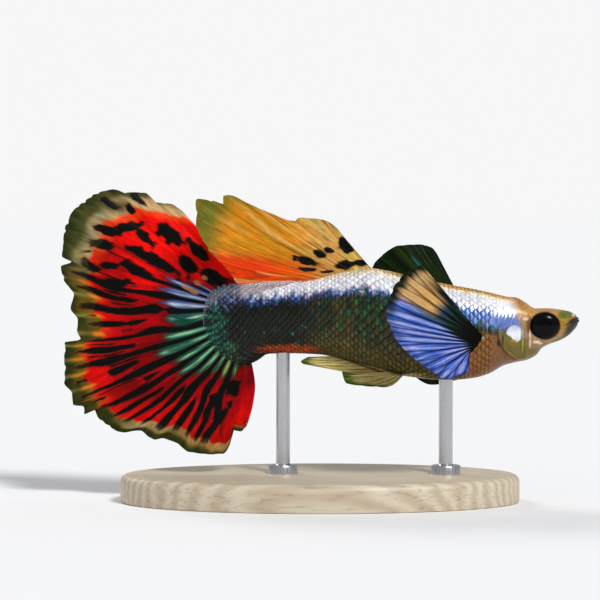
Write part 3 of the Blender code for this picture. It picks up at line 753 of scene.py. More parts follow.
def bare(x, z, place01):
    underGill = gillReach(x, z) < 1.14 and place01 > 0.2
    throat = x > 17.4 and place01 > 0.34 - 0.05 * (x - 17.4)
    return underGill or throat


def skinStep(x, turn, halfX, halfTurn):
    after = bodyPoint(np.array(x + halfX), np.array(turn + halfTurn))
    return after - bodyPoint(np.array(x - halfX), np.array(turn - halfTurn))


def scaleRoots(side):
    draw = np.random.default_rng(scales["seed"] + (side > 0))
    roots, turns, sizes, unwrap, raises = [], [], [], [], []
    x, column = scales["frontX"], 0
    while x > scales["rearX"]:
        back, belly, half = (float(value) for value in bodyAt(x))
        pitch = scales["pitch"] * ((back - belly) / 2 + 0.35 * half) ** 0.8
        for row in range(scales["rowsPerSide"] + 1):
            place01 = (row + 0.5 * (column % 2)) / scales["rowsPerSide"]
            if place01 > 1 or (place01 in (0, 1) and side > 0):
                continue
            turn = math.pi / 2 - side * math.pi * place01
            here = bodyPoint(np.array(x), np.array(turn))
            if bare(float(here[0]), float(here[2]), place01):
                continue
            ahead, across = skinStep(x, turn, 0.2, 0.0), skinStep(x, turn, 0.0, 0.1)
            rowHeight = np.linalg.norm(across) / 0.2 * math.pi / scales["rowsPerSide"]
            ahead, across = Vector(ahead).normalized(), Vector(across).normalized()
            up = ahead.cross(across).normalized()
            across = up.cross(ahead)
            roots.append(here * mm)
            turns.append(tuple(Matrix((ahead, across, up)).transposed().to_euler()))
            size = 1 + scales["sizeSpread"] * draw.standard_normal()
            sizes.append((pitch * scales["length"] * size * mm, rowHeight * scales["width"] * size * mm, mm))
            unwrap.append(((x + 14) / 42, 0.5 - 0.45 * place01 * side, draw.random()))
            nape = step(15.5, 19.0, x) * step(0.55, 0.25, place01)
            breast = step(13.2, 14.6, x) * step(0.45, 0.6, place01)
            raises.append(1 - scales["flat"] * float(max(nape, breast)))
        x -= pitch
        column += 1
    return roots, turns, sizes, unwrap, raises


def scaleTree():
    tree = bpy.data.node_groups.new("lay scales", "GeometryNodeTree")
    tree.is_modifier = True
    face = tree.interface
    face.new_socket("Roots", in_out="INPUT", socket_type="NodeSocketGeometry")
    face.new_socket("Plate", in_out="INPUT", socket_type="NodeSocketObject")
    face.new_socket("Skin", in_out="INPUT", socket_type="NodeSocketObject")
    face.new_socket("Finish", in_out="INPUT", socket_type="NodeSocketMaterial")
    face.new_socket("Lift", in_out="INPUT", socket_type="NodeSocketFloat")
    face.new_socket("Scales", in_out="OUTPUT", socket_type="NodeSocketGeometry")
    link = tree.links.new
    given = tree.nodes.new("NodeGroupInput")
    plate = tree.nodes.new("GeometryNodeObjectInfo")
    skin = tree.nodes.new("GeometryNodeObjectInfo")
    link(given.outputs["Plate"], plate.inputs["Object"])
    link(given.outputs["Skin"], skin.inputs["Object"])

    def named(name, kind):
        made = tree.nodes.new("GeometryNodeInputNamedAttribute")
        made.data_type = kind
        made.inputs["Name"].default_value = name
        return made.outputs["Attribute"]

    spread = tree.nodes.new("GeometryNodeInstanceOnPoints")
    link(given.outputs["Roots"], spread.inputs["Points"])
    link(plate.outputs["Geometry"], spread.inputs["Instance"])
    link(named("turn", "FLOAT_VECTOR"), spread.inputs["Rotation"])
    link(named("size", "FLOAT_VECTOR"), spread.inputs["Scale"])
    real = tree.nodes.new("GeometryNodeRealizeInstances")
    link(spread.outputs["Instances"], real.inputs["Geometry"])

    def onSkin(field):
        made = tree.nodes.new("GeometryNodeSampleNearestSurface")
        made.data_type = "FLOAT_VECTOR"
        link(skin.outputs["Geometry"], made.inputs["Mesh"])
        link(field, made.inputs["Value"])
        return made.outputs["Value"]

    position = tree.nodes.new("GeometryNodeInputPosition")
    normal = tree.nodes.new("GeometryNodeInputNormal")
    along = tree.nodes.new("ShaderNodeVectorMath")
    along.operation = "SCALE"
    link(onSkin(normal.outputs[0]), along.inputs[0])
    raised = tree.nodes.new("ShaderNodeMath")
    raised.operation = "MULTIPLY"
    link(named("lift", "FLOAT"), raised.inputs[0])
    link(given.outputs["Lift"], raised.inputs[1])
    eased = tree.nodes.new("ShaderNodeMath")
    eased.operation = "MULTIPLY"
    link(raised.outputs[0], eased.inputs[0])
    link(named("raise", "FLOAT"), eased.inputs[1])
    link(eased.outputs[0], along.inputs["Scale"])
    total = tree.nodes.new("ShaderNodeVectorMath")
    link(onSkin(position.outputs[0]), total.inputs[0])
    link(along.outputs[0], total.inputs[1])
    move = tree.nodes.new("GeometryNodeSetPosition")
    link(real.outputs[0], move.inputs["Geometry"])
    link(total.outputs[0], move.inputs["Position"])
    finish = tree.nodes.new("GeometryNodeSetMaterial")
    link(move.outputs[0], finish.inputs["Geometry"])
    link(given.outputs["Finish"], finish.inputs["Material"])
    result = tree.nodes.new("NodeGroupOutput")
    link(finish.outputs[0], result.inputs["Scales"])
    return tree


def makeScales(skin):
    material = paintedMaterial("iridescent scales", {
        "from": "Object", "stretch": (1, 1, 0.22), "noiseScale": 5200, "speckle": 0.5, "bump": 0.35,
        "bumpDepth": 0.02,
        "coat": 0.12, "coatRoughness": 0.18, "specular": 0.25, "hue": 0.6,
    })
    tree = scaleTree()
    sockets = {item.name: item.identifier for item in tree.interface.items_tree if item.in_out == "INPUT"}
    plate = scalePlate()
    for name, side in (("scalesRight", -1), ("scalesLeft", 1)):
        roots, turns, sizes, unwrap, raises = scaleRoots(side)
        holder = plainMesh(name + "Roots", np.array(roots) / mm, [])
        for label, values in (("turn", turns), ("size", sizes), ("root", unwrap)):
            layer = holder.data.attributes.new(label, "FLOAT_VECTOR", "POINT")
            layer.data.foreach_set("vector", np.array(values, np.float32).ravel())
        layer = holder.data.attributes.new("raise", "FLOAT", "POINT")
        layer.data.foreach_set("value", np.array(raises, np.float32))
        laying = holder.modifiers.new("lay scales", "NODES")
        laying.node_group = tree
        laying[sockets["Plate"]] = plate
        laying[sockets["Skin"]] = skin
        laying[sockets["Finish"]] = material
        laying[sockets["Lift"]] = scales["lift"]
        graph = bpy.context.evaluated_depsgraph_get()
        mesh = bpy.data.meshes.new_from_object(holder.evaluated_get(graph))
        mesh.name = name
        made = bpy.data.objects.new(name, mesh)
        bpy.context.scene.collection.objects.link(made)
        bpy.data.objects.remove(holder)
        paintScales(made, side)
        place(made, material, "body_skin", "trunk", "tail_stem")
        print(name, len(roots), "scales")
    bpy.data.objects.remove(plate)


def paintScales(made, side):
    count = len(made.data.vertices)

    def read(name, width, field):
        values = np.empty(count * width, np.float32)
        made.data.attributes[name].data.foreach_get(field, values)
        return values.reshape(count, width) if width > 1 else values

    points = np.empty(count * 3, np.float32)
    made.data.vertices.foreach_get("co", points)
    points = points.reshape(count, 3) / mm
    along, across, raised = (read(name, 1, "value") for name in ("alongPlate", "acrossPlate", "raise"))
    root = read("root", 3, "vector")
    colour = bodyMarking(points[:, 0].astype(float), points[:, 2].astype(float), np.full(count, float(side)))
    tone = 1 + scales["toneSpread"] * (root[:, 2] - 0.5) * raised
    # Each plate is darker along its rear rim, partly dark scale edges and partly painted shade where it lies
    # over the next row; just in front of the rim, gleam is a painted highlight on the darker plates.
    rim = step(0.84, 1.0, along) * raised
    bright = step(0.2, 0.6, colour.mean(axis=1))
    colour = colour * tone[:, None]
    colour = colour * (1 - rim * (0.17 + 0.43 * (1 - bright)))[:, None]
    gleam = step(0.35, 0.75, along) * step(0.95, 0.8, along) * (1 - bright)
    colour = colour * (1 + 0.7 * gleam)[:, None]
    setColours(made, "marking", colour)
    calm = np.maximum(bright, 1.3 * (1 - raised)).clip(0, 1)
    metallic = (0.35 - 0.17 * bright) * (0.4 + 0.6 * raised)
    setColours(made, "gloss", np.stack([0.34 - 0.08 * bright, metallic, calm], axis=-1))
    onPlate = np.stack([along - 0.5, across * 0.5], axis=-1)
    setUv(made, "OFBake", root[:, :2] + scales["mapPatch"] * onPlate)
    made.data.shade_smooth()


# Fins: a thin membrane on branching rays, both faces laid on one curved surface.
# u runs across the rays from 0 to 1, and v from the root (0) to the ragged edge (1).

def bentRay(root, tip, heading, v):
    reach = np.linalg.norm(tip - root, axis=-1, keepdims=True)
    control = root + np.stack([np.cos(heading), 0 * heading, np.sin(heading)], axis=-1) * reach * 0.5
    v = v[..., None]
    return root * (1 - v) ** 2 + control * 2 * v * (1 - v) + tip * v * v


def rayShape(u, v, fin):
    cell = u * fin["rays"] + 0.5
    phase = np.abs(cell - np.floor(cell) - 0.5)
    first = 0.25 * step(fin["fork"][0], 1.1, v)
    second = 0.125 * step(fin["fork"][1], 1.15, v)
    nearest = np.abs(np.abs(phase - first) - second)
    ridge = bell(nearest, 0.085 + 0.1 * (1 - v).clip(0, 1) ** 2)
    joints = 1 - 0.22 * step(0.6, 1, np.cos(2 * np.pi * (v * fin["joints"]))) * step(0.1, 0.25, v)
    return ridge * joints, phase


def makeFin(name, fin, surface, paint, slot, *nodes):
    columns, rows = fin["columns"], fin["rows"]
    u, v = np.meshgrid(np.linspace(0, 1, columns), np.linspace(-fin["sunk"], 1, rows))
    points = surface(u, v)
    normals = gridNormals(points)
    if (normals[..., 1].mean() > 0) != (fin["lay"] > 0):
        normals = -normals
    ridge, phase = rayShape(u, v, fin)
    taper = (1 - v).clip(0, 1)
    sheet = fin["sheet"] * (0.35 + 0.65 * taper**0.7) + fin["rootSheet"] * step(0.14, -0.02, v)
    half = sheet + fin["ridge"] * ridge * (0.25 + 0.75 * taper)
    ripple = fin["ripple"] * np.cos(2 * np.pi * (u * fin["rays"] + 0.5)) * step(0.15, 0.9, v)
    points = points + normals * ripple[..., None]
    outer, inner = points + normals * half[..., None], points - normals * half[..., None]
    vertices = np.vstack([outer.reshape(-1, 3), inner.reshape(-1, 3)])
    size = rows * columns
    test = np.cross(points[1, 1] - points[0, 0], points[1, 0] - points[0, 1])
    flip = np.dot(test, normals[0, 0]) < 0
    faces = list(gridFaces(rows, columns, flip=not flip))
    faces += list(gridFaces(rows, columns, start=size, flip=flip))
    rim = list(range(columns - 1))
    rim += [r * columns + columns - 1 for r in range(rows - 1)]
    rim += [(rows - 1) * columns + c for c in range(columns - 1, 0, -1)]
    rim += [r * columns for r in range(rows - 1, 0, -1)]
    for i, first in enumerate(rim):
        second = rim[(i + 1) % len(rim)]
        face = (first, second, second + size, first + size)
        faces.append(face[::-1] if not flip else face)
    made = plainMesh(name, vertices, faces)
    outerPaint, outerGloss = paint(u, v, points, phase, ridge, 1)
    innerPaint, innerGloss = paint(u, v, points, phase, ridge, -1)
    setColours(made, "marking", np.concatenate([outerPaint.reshape(-1, 3), innerPaint.reshape(-1, 3)]))
    setColours(made, "gloss", np.concatenate([outerGloss.reshape(-1, 3), innerGloss.reshape(-1, 3)]))
    flat = np.stack([u * fin["rays"], v], axis=-1).reshape(-1, 2)
    setUv(made, "finMap", np.vstack([flat, flat + (fin["rays"] + 2, 0)]))
    material = paintedMaterial(name + " membrane", {
        "from": "UV", "stretch": (1.0, 1.6, 1.0), "noiseScale": 7.0, "speckle": 0.25, "bump": 0.25,
        "bumpDepth": 0.04,
        "coat": 0.0, "coatRoughness": 0.3, "specular": 0.06, "hue": 0.2,
    })
    place(made, material, slot, *nodes)


def glossOf(colour, roughness, metallic):
    shape = colour.shape[:-1]
    return np.stack([np.full(shape, roughness), np.broadcast_to(metallic, shape), np.zeros(shape)], axis=-1)


tail = {
    "tones": {
        "red": srgb(0.60, 0.008, 0.03), "brightRed": srgb(0.89, 0.035, 0.02),
        "lowerRed": srgb(0.76, 0.015, 0.03),
        "outerRed": srgb(0.85, 0.05, 0.02), "orange": srgb(0.88, 0.22, 0.04),
        "amber": srgb(0.82, 0.44, 0.10),
        "brownRed": srgb(0.55, 0.20, 0.05), "cream": srgb(0.76, 0.62, 0.44), "grey": srgb(0.60, 0.54, 0.38),
        "leftOlive": srgb(0.34, 0.31, 0.08), "tan": srgb(0.60, 0.46, 0.26),
        "edgeOlive": srgb(0.28, 0.28, 0.13),
        "leftEdge": srgb(0.19, 0.20, 0.05), "darkEdge": srgb(0.13, 0.16, 0.05),
        "paleRay": srgb(0.62, 0.58, 0.30),
        "fanBlue": srgb(0.24, 0.32, 0.56), "fanTeal": srgb(0.07, 0.30, 0.24),
        "fanGreen": srgb(0.14, 0.26, 0.18),
        "paleBlue": srgb(0.80, 0.82, 0.95), "paleTeal": srgb(0.55, 0.78, 0.62),
        "straw": srgb(0.66, 0.64, 0.30),
        "rootTan": srgb(0.72, 0.46, 0.26),
    },
    "streakWidth": (
        (-0.1, 0.22), (0.1, 0.22), (0.3, 0.24), (0.5, 0.20), (0.7, 0.15), (0.85, 0.10), (1, 0.05),
    ),
    "rays": 18, "columns": 440, "rows": 108, "sunk": 0.10, "lay": -1, "sheet": 0.045, "rootSheet": 0.04,
    "ridge": 0.07, "ripple": 0.03, "fork": (0.25, 0.6), "joints": 34, "fold": 0.9, "seed": 31,
    "turns": (93.0, 279.0), "gap": -0.25, "bigFolds": 3.2, "smallFolds": 8, "smallShare": 0.35,
    "edgeFolds": 13, "edgeFold": 0.25,
    "tips": (
        (0.000, (-14.0, 29.2)), (0.011, (-14.9, 29.8)), (0.046, (-16.5, 30.0)), (0.077, (-17.8, 31.0)),
        (0.105, (-19.5, 31.0)), (0.129, (-20.9, 31.3)), (0.163, (-22.4, 30.9)), (0.213, (-24.2, 29.7)),
        (0.241, (-25.1, 28.9)), (0.285, (-25.9, 26.9)), (0.342, (-26.1, 24.4)), (0.352, (-25.1, 23.9)),
        (0.363, (-26.2, 23.4)), (0.384, (-26.1, 22.2)), (0.401, (-25.4, 21.2)), (0.410, (-24.9, 20.6)),
        (0.426, (-25.2, 19.2)), (0.444, (-24.5, 18.1)), (0.459, (-24.6, 17.1)), (0.474, (-24.3, 16.1)),
        (0.482, (-25.8, 15.8)), (0.509, (-25.8, 14.4)), (0.551, (-25.9, 11.7)), (0.573, (-25.0, 10.6)),
        (0.593, (-25.0, 9.5)), (0.615, (-24.0, 9.1)), (0.627, (-23.9, 8.4)), (0.635, (-22.9, 9.0)),
        (0.647, (-22.6, 8.3)), (0.674, (-21.7, 7.4)), (0.710, (-20.1, 6.7)), (0.743, (-18.2, 6.9)),
        (0.767, (-16.8, 6.0)), (0.780, (-15.9, 6.2)), (0.804, (-14.5, 5.8)), (0.832, (-13.1, 4.9)),
        (0.904, (-9.9, 4.6)), (0.928, (-9.1, 5.5)), (0.952, (-8.8, 7.0)), (0.967, (-8.1, 6.9)),
        (0.993, (-7.4, 7.4)), (1.000, (-7.0, 8.6)),
    ),
    "headings": ((0.0, 118), (0.24, 152), (0.46, 190), (0.7, 226), (0.84, 246), (1.0, 286)),
    "redEnd": (
        (0, 0.80), (0.12, 0.77), (0.24, 0.77), (0.35, 0.80), (0.5, 0.83), (0.63, 0.86), (0.75, 0.85),
        (0.88, 0.86),
        (0.95, 0.90), (1, 0.95),
    ),
    "fanEnd": (
        (0, -0.02), (0.18, 0.0), (0.25, 0.22), (0.33, 0.31), (0.45, 0.34), (0.6, 0.32), (0.75, 0.27),
        (0.86, 0.19),
        (0.93, 0.08), (1, 0.0),
    ),
    # Marks: middle, half sizes, lean in degrees. Tan ones at the upper root, black ones on the upper lobe.
    "rootMarks": (
        ((-13.1, 21.22), (1.15, 0.20), -25), ((-11.6, 22.42), (0.26, 0.17), -30),
        ((-12.3, 21.88), (0.30, 0.24), -20),
    ),
    "lowerPatches": (
        ((-8.7, 11.25), (0.72, 0.88), 8), ((-10.4, 7.9), (2.5, 0.42), 54), ((-10.9, 9.8), (1.7, 0.36), 62),
    ),
    "patches": (
        ((-21.5, 27.1), (1.50, 0.42), -18), ((-19.1, 27.5), (1.35, 0.50), 6),
        ((-17.6, 26.5), (1.3, 0.40), -44),
        ((-15.3, 26.9), (1.55, 0.70), -40), ((-12.2, 25.1), (1.55, 0.55), -42),
        ((-13.3, 23.8), (1.25, 0.68), -38),
        ((-16.6, 24.1), (3.1, 0.52), -27), ((-22.1, 25.7), (1.40, 0.52), -8),
        ((-21.1, 23.55), (0.9, 0.42), -4),
        ((-18.3, 23.1), (2.2, 0.50), -28), ((-23.3, 23.6), (1.15, 0.50), -36),
        ((-20.6, 21.9), (1.35, 0.42), -4),
        ((-13.7, 21.4), (1.5, 0.42), -36), ((-19.0, 29.3), (0.72, 0.36), -38),
        ((-21.2, 29.8), (1.15, 0.34), -36),
        ((-18.3, 30.3), (1.05, 0.34), -40), ((-10.6, 22.4), (1.5, 0.7), -20),
        ((-24.0, 24.9), (0.9, 0.22), 4),
    ),
}


def tailSurface(u, v):
    turn = np.radians(tail["turns"][0] + (tail["turns"][1] - tail["turns"][0]) * u)
    across, up = np.cos(turn), np.sin(turn)
    power = np.where(up > 0, 2 / body["stemSquare"][0], 2 / body["stemSquare"][1])
    length, height = body["stemEndLength"] + tail["gap"], (stemBack - stemBelly) / 2 + tail["gap"]
    rootX = body["stemEndX"] + length * np.copysign(np.abs(across) ** power, across)
    rootZ = (stemBack + stemBelly) / 2 + height * np.copysign(np.abs(up) ** power, up)
    root = np.stack([rootX, 0 * u, rootZ], axis=-1)
    ends = smoothKnots(tail["tips"], u)
    tip = np.stack([ends[..., 0], 0 * u, ends[..., 1]], axis=-1)
    short = 0.014 * grain(u * 110, 0 * u, 4) ** 3 + 0.006 * grain(u * 47, 0 * u, 9)
    tip = tip + (root - tip) * short[..., None]
    heading = np.radians(knotValue(tail["headings"], u))
    point = bentRay(root, tip, heading, v)
    wave = np.sin(2 * np.pi * tail["bigFolds"] * u + 0.6)
    wave = wave + tail["smallShare"] * np.sin(2 * np.pi * tail["smallFolds"] * u)
    flow = tail["edgeFold"] * step(0.6, 1, v) * np.sin(2 * np.pi * tail["edgeFolds"] * u + 2)
    point[..., 1] = spineY(point[..., 0]) + tail["fold"] * v * np.abs(v) * wave + flow
    return point


# A mark is a rounded box with a ragged edge: its corners' power, and where it fades.
markShape = {"power": 2.1, "fadeStart": 0.86, "fadeEnd": 1.16}


def patchShare(x, z, patches, seed):
    dark = np.zeros_like(x)
    for middle, size, lean in patches:
        turn = math.radians(lean)
        right = (x - middle[0]) * math.cos(turn) + (z - middle[1]) * math.sin(turn)
        up = -(x - middle[0]) * math.sin(turn) + (z - middle[1]) * math.cos(turn)
        wide, lengthwise = grain(x * 1.9, z * 1.9, seed), grain(right * 1.6, up * 6, seed + 1)
        ragged = 1 + 0.6 * (wide - 0.5) + 0.3 * (lengthwise - 0.5)
        power = markShape["power"]
        reach = (np.abs(right / size[0]) ** power + np.abs(up / size[1]) ** power) ** (1 / power) * ragged
        dark = np.maximum(dark, step(markShape["fadeEnd"], markShape["fadeStart"], reach))
    return dark


def streakShare(distance, width, key, v, seed, gaps):
    swell = 0.55 + 0.75 * grain(key * 7.3, v * 5.5 + key * 0.61, seed)
    broken = step(gaps, gaps + 0.12, grain(key * 3.1 + 20, v * 6.5 + key, seed + 1))
    edge = 0.02 * (grain(key * 9.7, v * 60, seed + 2) - 0.5)
    half = width * swell * (1 - broken)
    return (1 - step(half - 0.02, half + 0.02, distance + edge)) * step(0.01, 0.03, half)


def tailCell(u, v):
    sway = 0.36 * (grain(u * 9, v * 3.4, tail["seed"] + 40) - 0.5) * step(0.2, 0.5, v)
    return u * tail["rays"] + 0.5 + sway + 0.14 * (grain(u * 30, v * 6, tail["seed"] + 41) - 0.5)


def tailRed(u, v, cell, ridge):
    seed, tone = tail["seed"], tail["tones"]
    red = paintOver(
        fill(tone["red"], u),
        (tone["brightRed"], step(0.46, 0.26, u)),
        (tone["lowerRed"], step(0.6, 0.75, u) * step(0.3, 0.8, v)),
        (tone["outerRed"], step(0.6, 0.78, v) * 0.6),
    )
    deep = 1 - 0.42 * step(0.42, 0.72, grain(u * 13, v * 4.5, seed + 44)) * (1 - 0.6 * step(0.30, 0.22, u))
    return red * ((0.66 + 0.5 * layered(cell * 3.5, v * 6, seed + 2) + 0.14 * ridge) * deep)[..., None]


def tailStreaks(u, v, cell):
    seed = tail["seed"]
    ray, boundary = np.floor(cell), np.floor(cell + 0.5)
    centred = np.abs(cell - ray - 0.5)
    lower = step(0.62, 0.72, u)
    width = knotValue(tail["streakWidth"], v) * (1 + 0.15 * lower)
    streaks = streakShare(0.5 - centred, width, boundary, v, seed + 3, 0.80)
    start = 0.30 + 0.16 * hashed(ray, 3, seed)
    width = 0.14 * step(start, start + 0.12, v) * step(1.0, 0.75, v) * (1 + 0.3 * lower)
    streaks = np.maximum(streaks, streakShare(centred, width, ray + 30, v, seed + 6, 0.70))
    width = 0.045 * step(0.42, 0.55, v) * step(0.97, 0.8, v) * (1 - 0.75 * lower)
    fine = streakShare(np.abs(centred - 0.25), width, np.floor(cell * 2) + 60, v, seed + 9, 0.42)
    streaks = np.maximum(streaks, fine) * (1 - step(0.30, 0.22, u))
    # Some of the upper streaks stop half way, and the lower right corner has none.
    stopped = step(0.42, 0.36, u) * step(0.42, 0.5, v) * (hashed(boundary, 7, seed) > 0.35)
    return streaks * (1 - 0.9 * stopped) * (1 - step(0.87, 0.91, u) * step(0.0, 0.1, v))


def tailMargin(u, v, cell, quarter, outward):
    seed, tone = tail["seed"], tail["tones"]
    inner = paintOver(
        fill(tone["cream"], u),
        (tone["grey"], step(0.08, 0.2, u)),
        (tone["leftOlive"], step(0.3, 0.4, u) * step(0.75, 0.66, u)),
        (tone["tan"], step(0.70, 0.82, u)),
    )
    outer = blend(fill(tone["edgeOlive"], u), tone["leftEdge"], step(0.3, 0.4, u))
    out = outward - 0.28 * step(0.22, 0.08, u)
    margin = paintOver(
        inner,
        (outer, step(0.2, 0.65, out + 0.9 * (grain(cell * 0.9, v * 12, seed + 6) - 0.5))),
        (tone["darkEdge"], step(0.6, 1.0, out + 0.8 * (layered(cell * 5, v * 2.5, seed + 16) - 0.5)) * 0.85),
        (tone["paleRay"], bell(quarter, 0.05) * step(0.34, 0.42, u) * step(0.62, 0.54, u) * 0.4),
    )
    return margin * (0.6 + 0.8 * layered(cell * 4, v * 8, seed + 8))[..., None]


def tailFan(u, v, cell):
    seed, tone = tail["seed"], tail["tones"]
    ray = np.floor(cell)
    centred = np.abs(cell - ray - 0.5)
    fanEnd = knotValue(tail["fanEnd"], u) + 0.07 * (hashed(ray, 5, seed) - 0.5) - 0.36 * centred**1.5
    past = v - fanEnd + 0.12 * (layered(cell * 5, 0 * v, seed + 26) - 0.5)
    onFan = step(-0.04, 0.04, fanEnd)
    threads = layered(cell * 6, v * 5, seed + 14)
    streak = paintOver(
        fill(tone["fanBlue"], u),
        (tone["fanTeal"], step(0.36, 0.46, u)),
        (tone["fanGreen"], step(0.6, 0.75, u)),
    )
    pale = paintOver(
        fill(tone["paleBlue"], u),
        (tone["paleTeal"], step(0.36, 0.48, u)),
        (tone["straw"], step(0.76, 0.84, u)),
    )
    offset = centred * np.sign(cell - ray - 0.5)
    shine = bell(offset - 0.04, 0.15) * step(-0.08, 0.06, v) * step(0.0, -0.08, v - fanEnd)
    fan = paintOver(
        fill(tones["black"], u),
        (streak, step(0.38, 0.22, centred + 0.16 * (threads - 0.5))),
        (pale, shine * step(0.28, 0.55, threads) * (0.6 + 0.4 * grain(ray * 3, v * 16, seed + 20))),
    )
    fan = fan * (0.65 + 0.7 * threads)[..., None]
    return fan, step(0.03, -0.05, past) * onFan, step(0.07, 0.0, past) * onFan * 0.7


def tailPaint(u, v, points, phase, ridge, face):
    seed, tone = tail["seed"], tail["tones"]
    x, z = points[..., 0], points[..., 2]
    cell = tailCell(u, v)
    ray = np.floor(cell)
    quarter = np.abs(np.abs(cell - ray - 0.5) - 0.25)
    upperMarks = patchShare(x, z, tail["patches"], seed + 12)
    lowerMarks = patchShare(x, z, tail["lowerPatches"], seed + 33)
    patches = np.maximum(upperMarks * step(0.52, 0.42, u), lowerMarks)
    streaks = tailStreaks(u, v, cell)
    dark = np.maximum(streaks, patches)

    redEnd = knotValue(tail["redEnd"], u) + 0.03 * (hashed(ray, 1, seed) - 0.5) + 0.05 * (0.25 - quarter)
    redEnd = redEnd + 0.05 * (grain(cell * 3, 0 * v, seed + 15) - 0.5)
    past = v - redEnd
    outward = past / np.maximum(1 - redEnd, 0.05)
    keptStreaks = 0.35 * step(0.33, 0.38, u) * step(0.66, 0.56, u)
    marginShare = step(-0.012, 0.015, past) * (1 - 0.9 * dark * step(0.5, 0.15, outward - keptStreaks))
    flame = bell(quarter, 0.055) * step(0.28, 0.36, u) * step(0.64, 0.56, u)
    flame = flame * step(0.09, 0.04, past) * step(-0.05, 0, past)
    glow = step(0.32, 0.24, u) + 0.25 * step(0.55, 0.8, grain(cell * 2.2, v * 7, seed + 17))
    fringe = np.maximum(flame, step(-0.09, -0.01, past) * step(0.05, 0.0, past) * glow)
    fringeTone = paintOver(
        fill(tone["orange"], u),
        (tone["amber"], step(0.24, 0.34, u)),
        (tone["brownRed"], step(0.62, 0.7, u)),
    )
    fan, inFan, fanShade = tailFan(u, v, cell)
    colour = paintOver(
        tailRed(u, v, cell, ridge),
        (tones["black"], np.maximum(streaks * step(0.99, 0.94, v), patches)),
        (tailMargin(u, v, cell, quarter, outward), marginShare),
        (fringeTone, fringe * (1 - dark)),
        (tones["black"], upperMarks * step(0.30, 0.22, u)),
        (tones["black"], fanShade),
        (fan, inFan),
        (tones["black"], step(0.13, 0.05, v) * step(0.28, 0.12, u) * 0.85),
        (tone["rootTan"], patchShare(x, z, tail["rootMarks"], seed + 25) * 0.9),
    )
    return colour, glossOf(colour, 0.55, 0.15 * inFan)


dorsal = {
    "tones": {
        "ochre": srgb(0.80, 0.52, 0.10), "tan": srgb(0.80, 0.60, 0.32), "yellow": srgb(0.84, 0.70, 0.32),
        "topTan": srgb(0.72, 0.56, 0.20), "orange": srgb(0.84, 0.30, 0.03),
        "redOrange": srgb(0.86, 0.20, 0.02),
        "olive": srgb(0.36, 0.38, 0.10), "darkTip": srgb(0.13, 0.17, 0.06),
        "rayEnd": srgb(0.50, 0.46, 0.14),
        "paleRay": srgb(0.84, 0.70, 0.40), "brownRay": srgb(0.42, 0.20, 0.03),
        "edge": srgb(0.40, 0.32, 0.08),
    },
    "rays": 9, "columns": 300, "rows": 110, "sunk": 0.05, "lay": -1, "sheet": 0.045, "rootSheet": 0.12,
    "ridge": 0.07, "ripple": 0.03, "fork": (0.35, 0.65), "joints": 30, "lean": 2.6, "base": (5.2, -1.6),
    "seed": 51,
    "firstHeading": 132, "headingFan": 49, "wave": 0.25, "length": 17,
    "tips": (
        (0.00, (1.7, 27.4)), (0.04, (0.9, 28.05)), (0.09, (-0.2, 28.4)), (0.15, (-2.2, 28.5)),
        (0.17, (-2.6, 28.2)),
        (0.27, (-4.9, 28.95)), (0.35, (-7.1, 29.95)), (0.42, (-9.1, 30.8)), (0.435, (-9.6, 30.7)),
        (0.45, (-9.7, 29.95)),
        (0.49, (-10.7, 30.25)), (0.55, (-12.2, 30.45)), (0.57, (-12.4, 30.2)), (0.66, (-12.35, 27.9)),
        (0.70, (-12.0, 27.0)), (0.79, (-11.0, 25.2)), (0.88, (-9.7, 23.9)), (1.00, (-8.1, 21.85)),
    ),
    "spots": (
        ((2.6, 25.7), (1.0, 0.68), -38), ((0.87, 25.25), (0.50, 0.26), -24),
        ((-0.1, 24.85), (0.70, 0.32), -20),
        ((-1.4, 24.2), (1.15, 0.46), -14), ((-1.4, 23.35), (0.95, 0.20), -4),
        ((2.6, 23.75), (1.2, 0.36), 9),
        ((4.1, 23.95), (0.80, 0.30), 4), ((0.6, 23.1), (0.85, 0.14), 4),
    ),
}


def dorsalSurface(u, v):
    x = dorsal["base"][0] + (dorsal["base"][1] - dorsal["base"][0]) * u
    root = np.stack([x, spineY(x), bodyAt(x)[0] - 0.05], axis=-1)
    ends = smoothKnots(dorsal["tips"], u)
    tip = np.stack([ends[..., 0], 0 * u, ends[..., 1]], axis=-1)
    tip = tip + (root - tip) * (0.015 * grain(u * 60, 0 * u, 3) ** 2)[..., None]
    point = bentRay(root, tip, np.radians(dorsal["firstHeading"] + dorsal["headingFan"] * u), v)
    ridgeTop = bodyAt(point[..., 0])[0] + 0.04 - 0.3 * step(0.4, 1, v)
    point[..., 2] = np.where((u > 0.5) & (v > 0.08), np.maximum(point[..., 2], ridgeTop), point[..., 2])
    behind = np.clip((dorsal["base"][0] - point[..., 0]) / dorsal["length"], 0, 1)
    wave = dorsal["wave"] * v * np.sin(4 * np.pi * u)
    point[..., 1] = spineY(x) * (1 - v) - dorsal["lean"] * behind**1.5 + wave
    return point


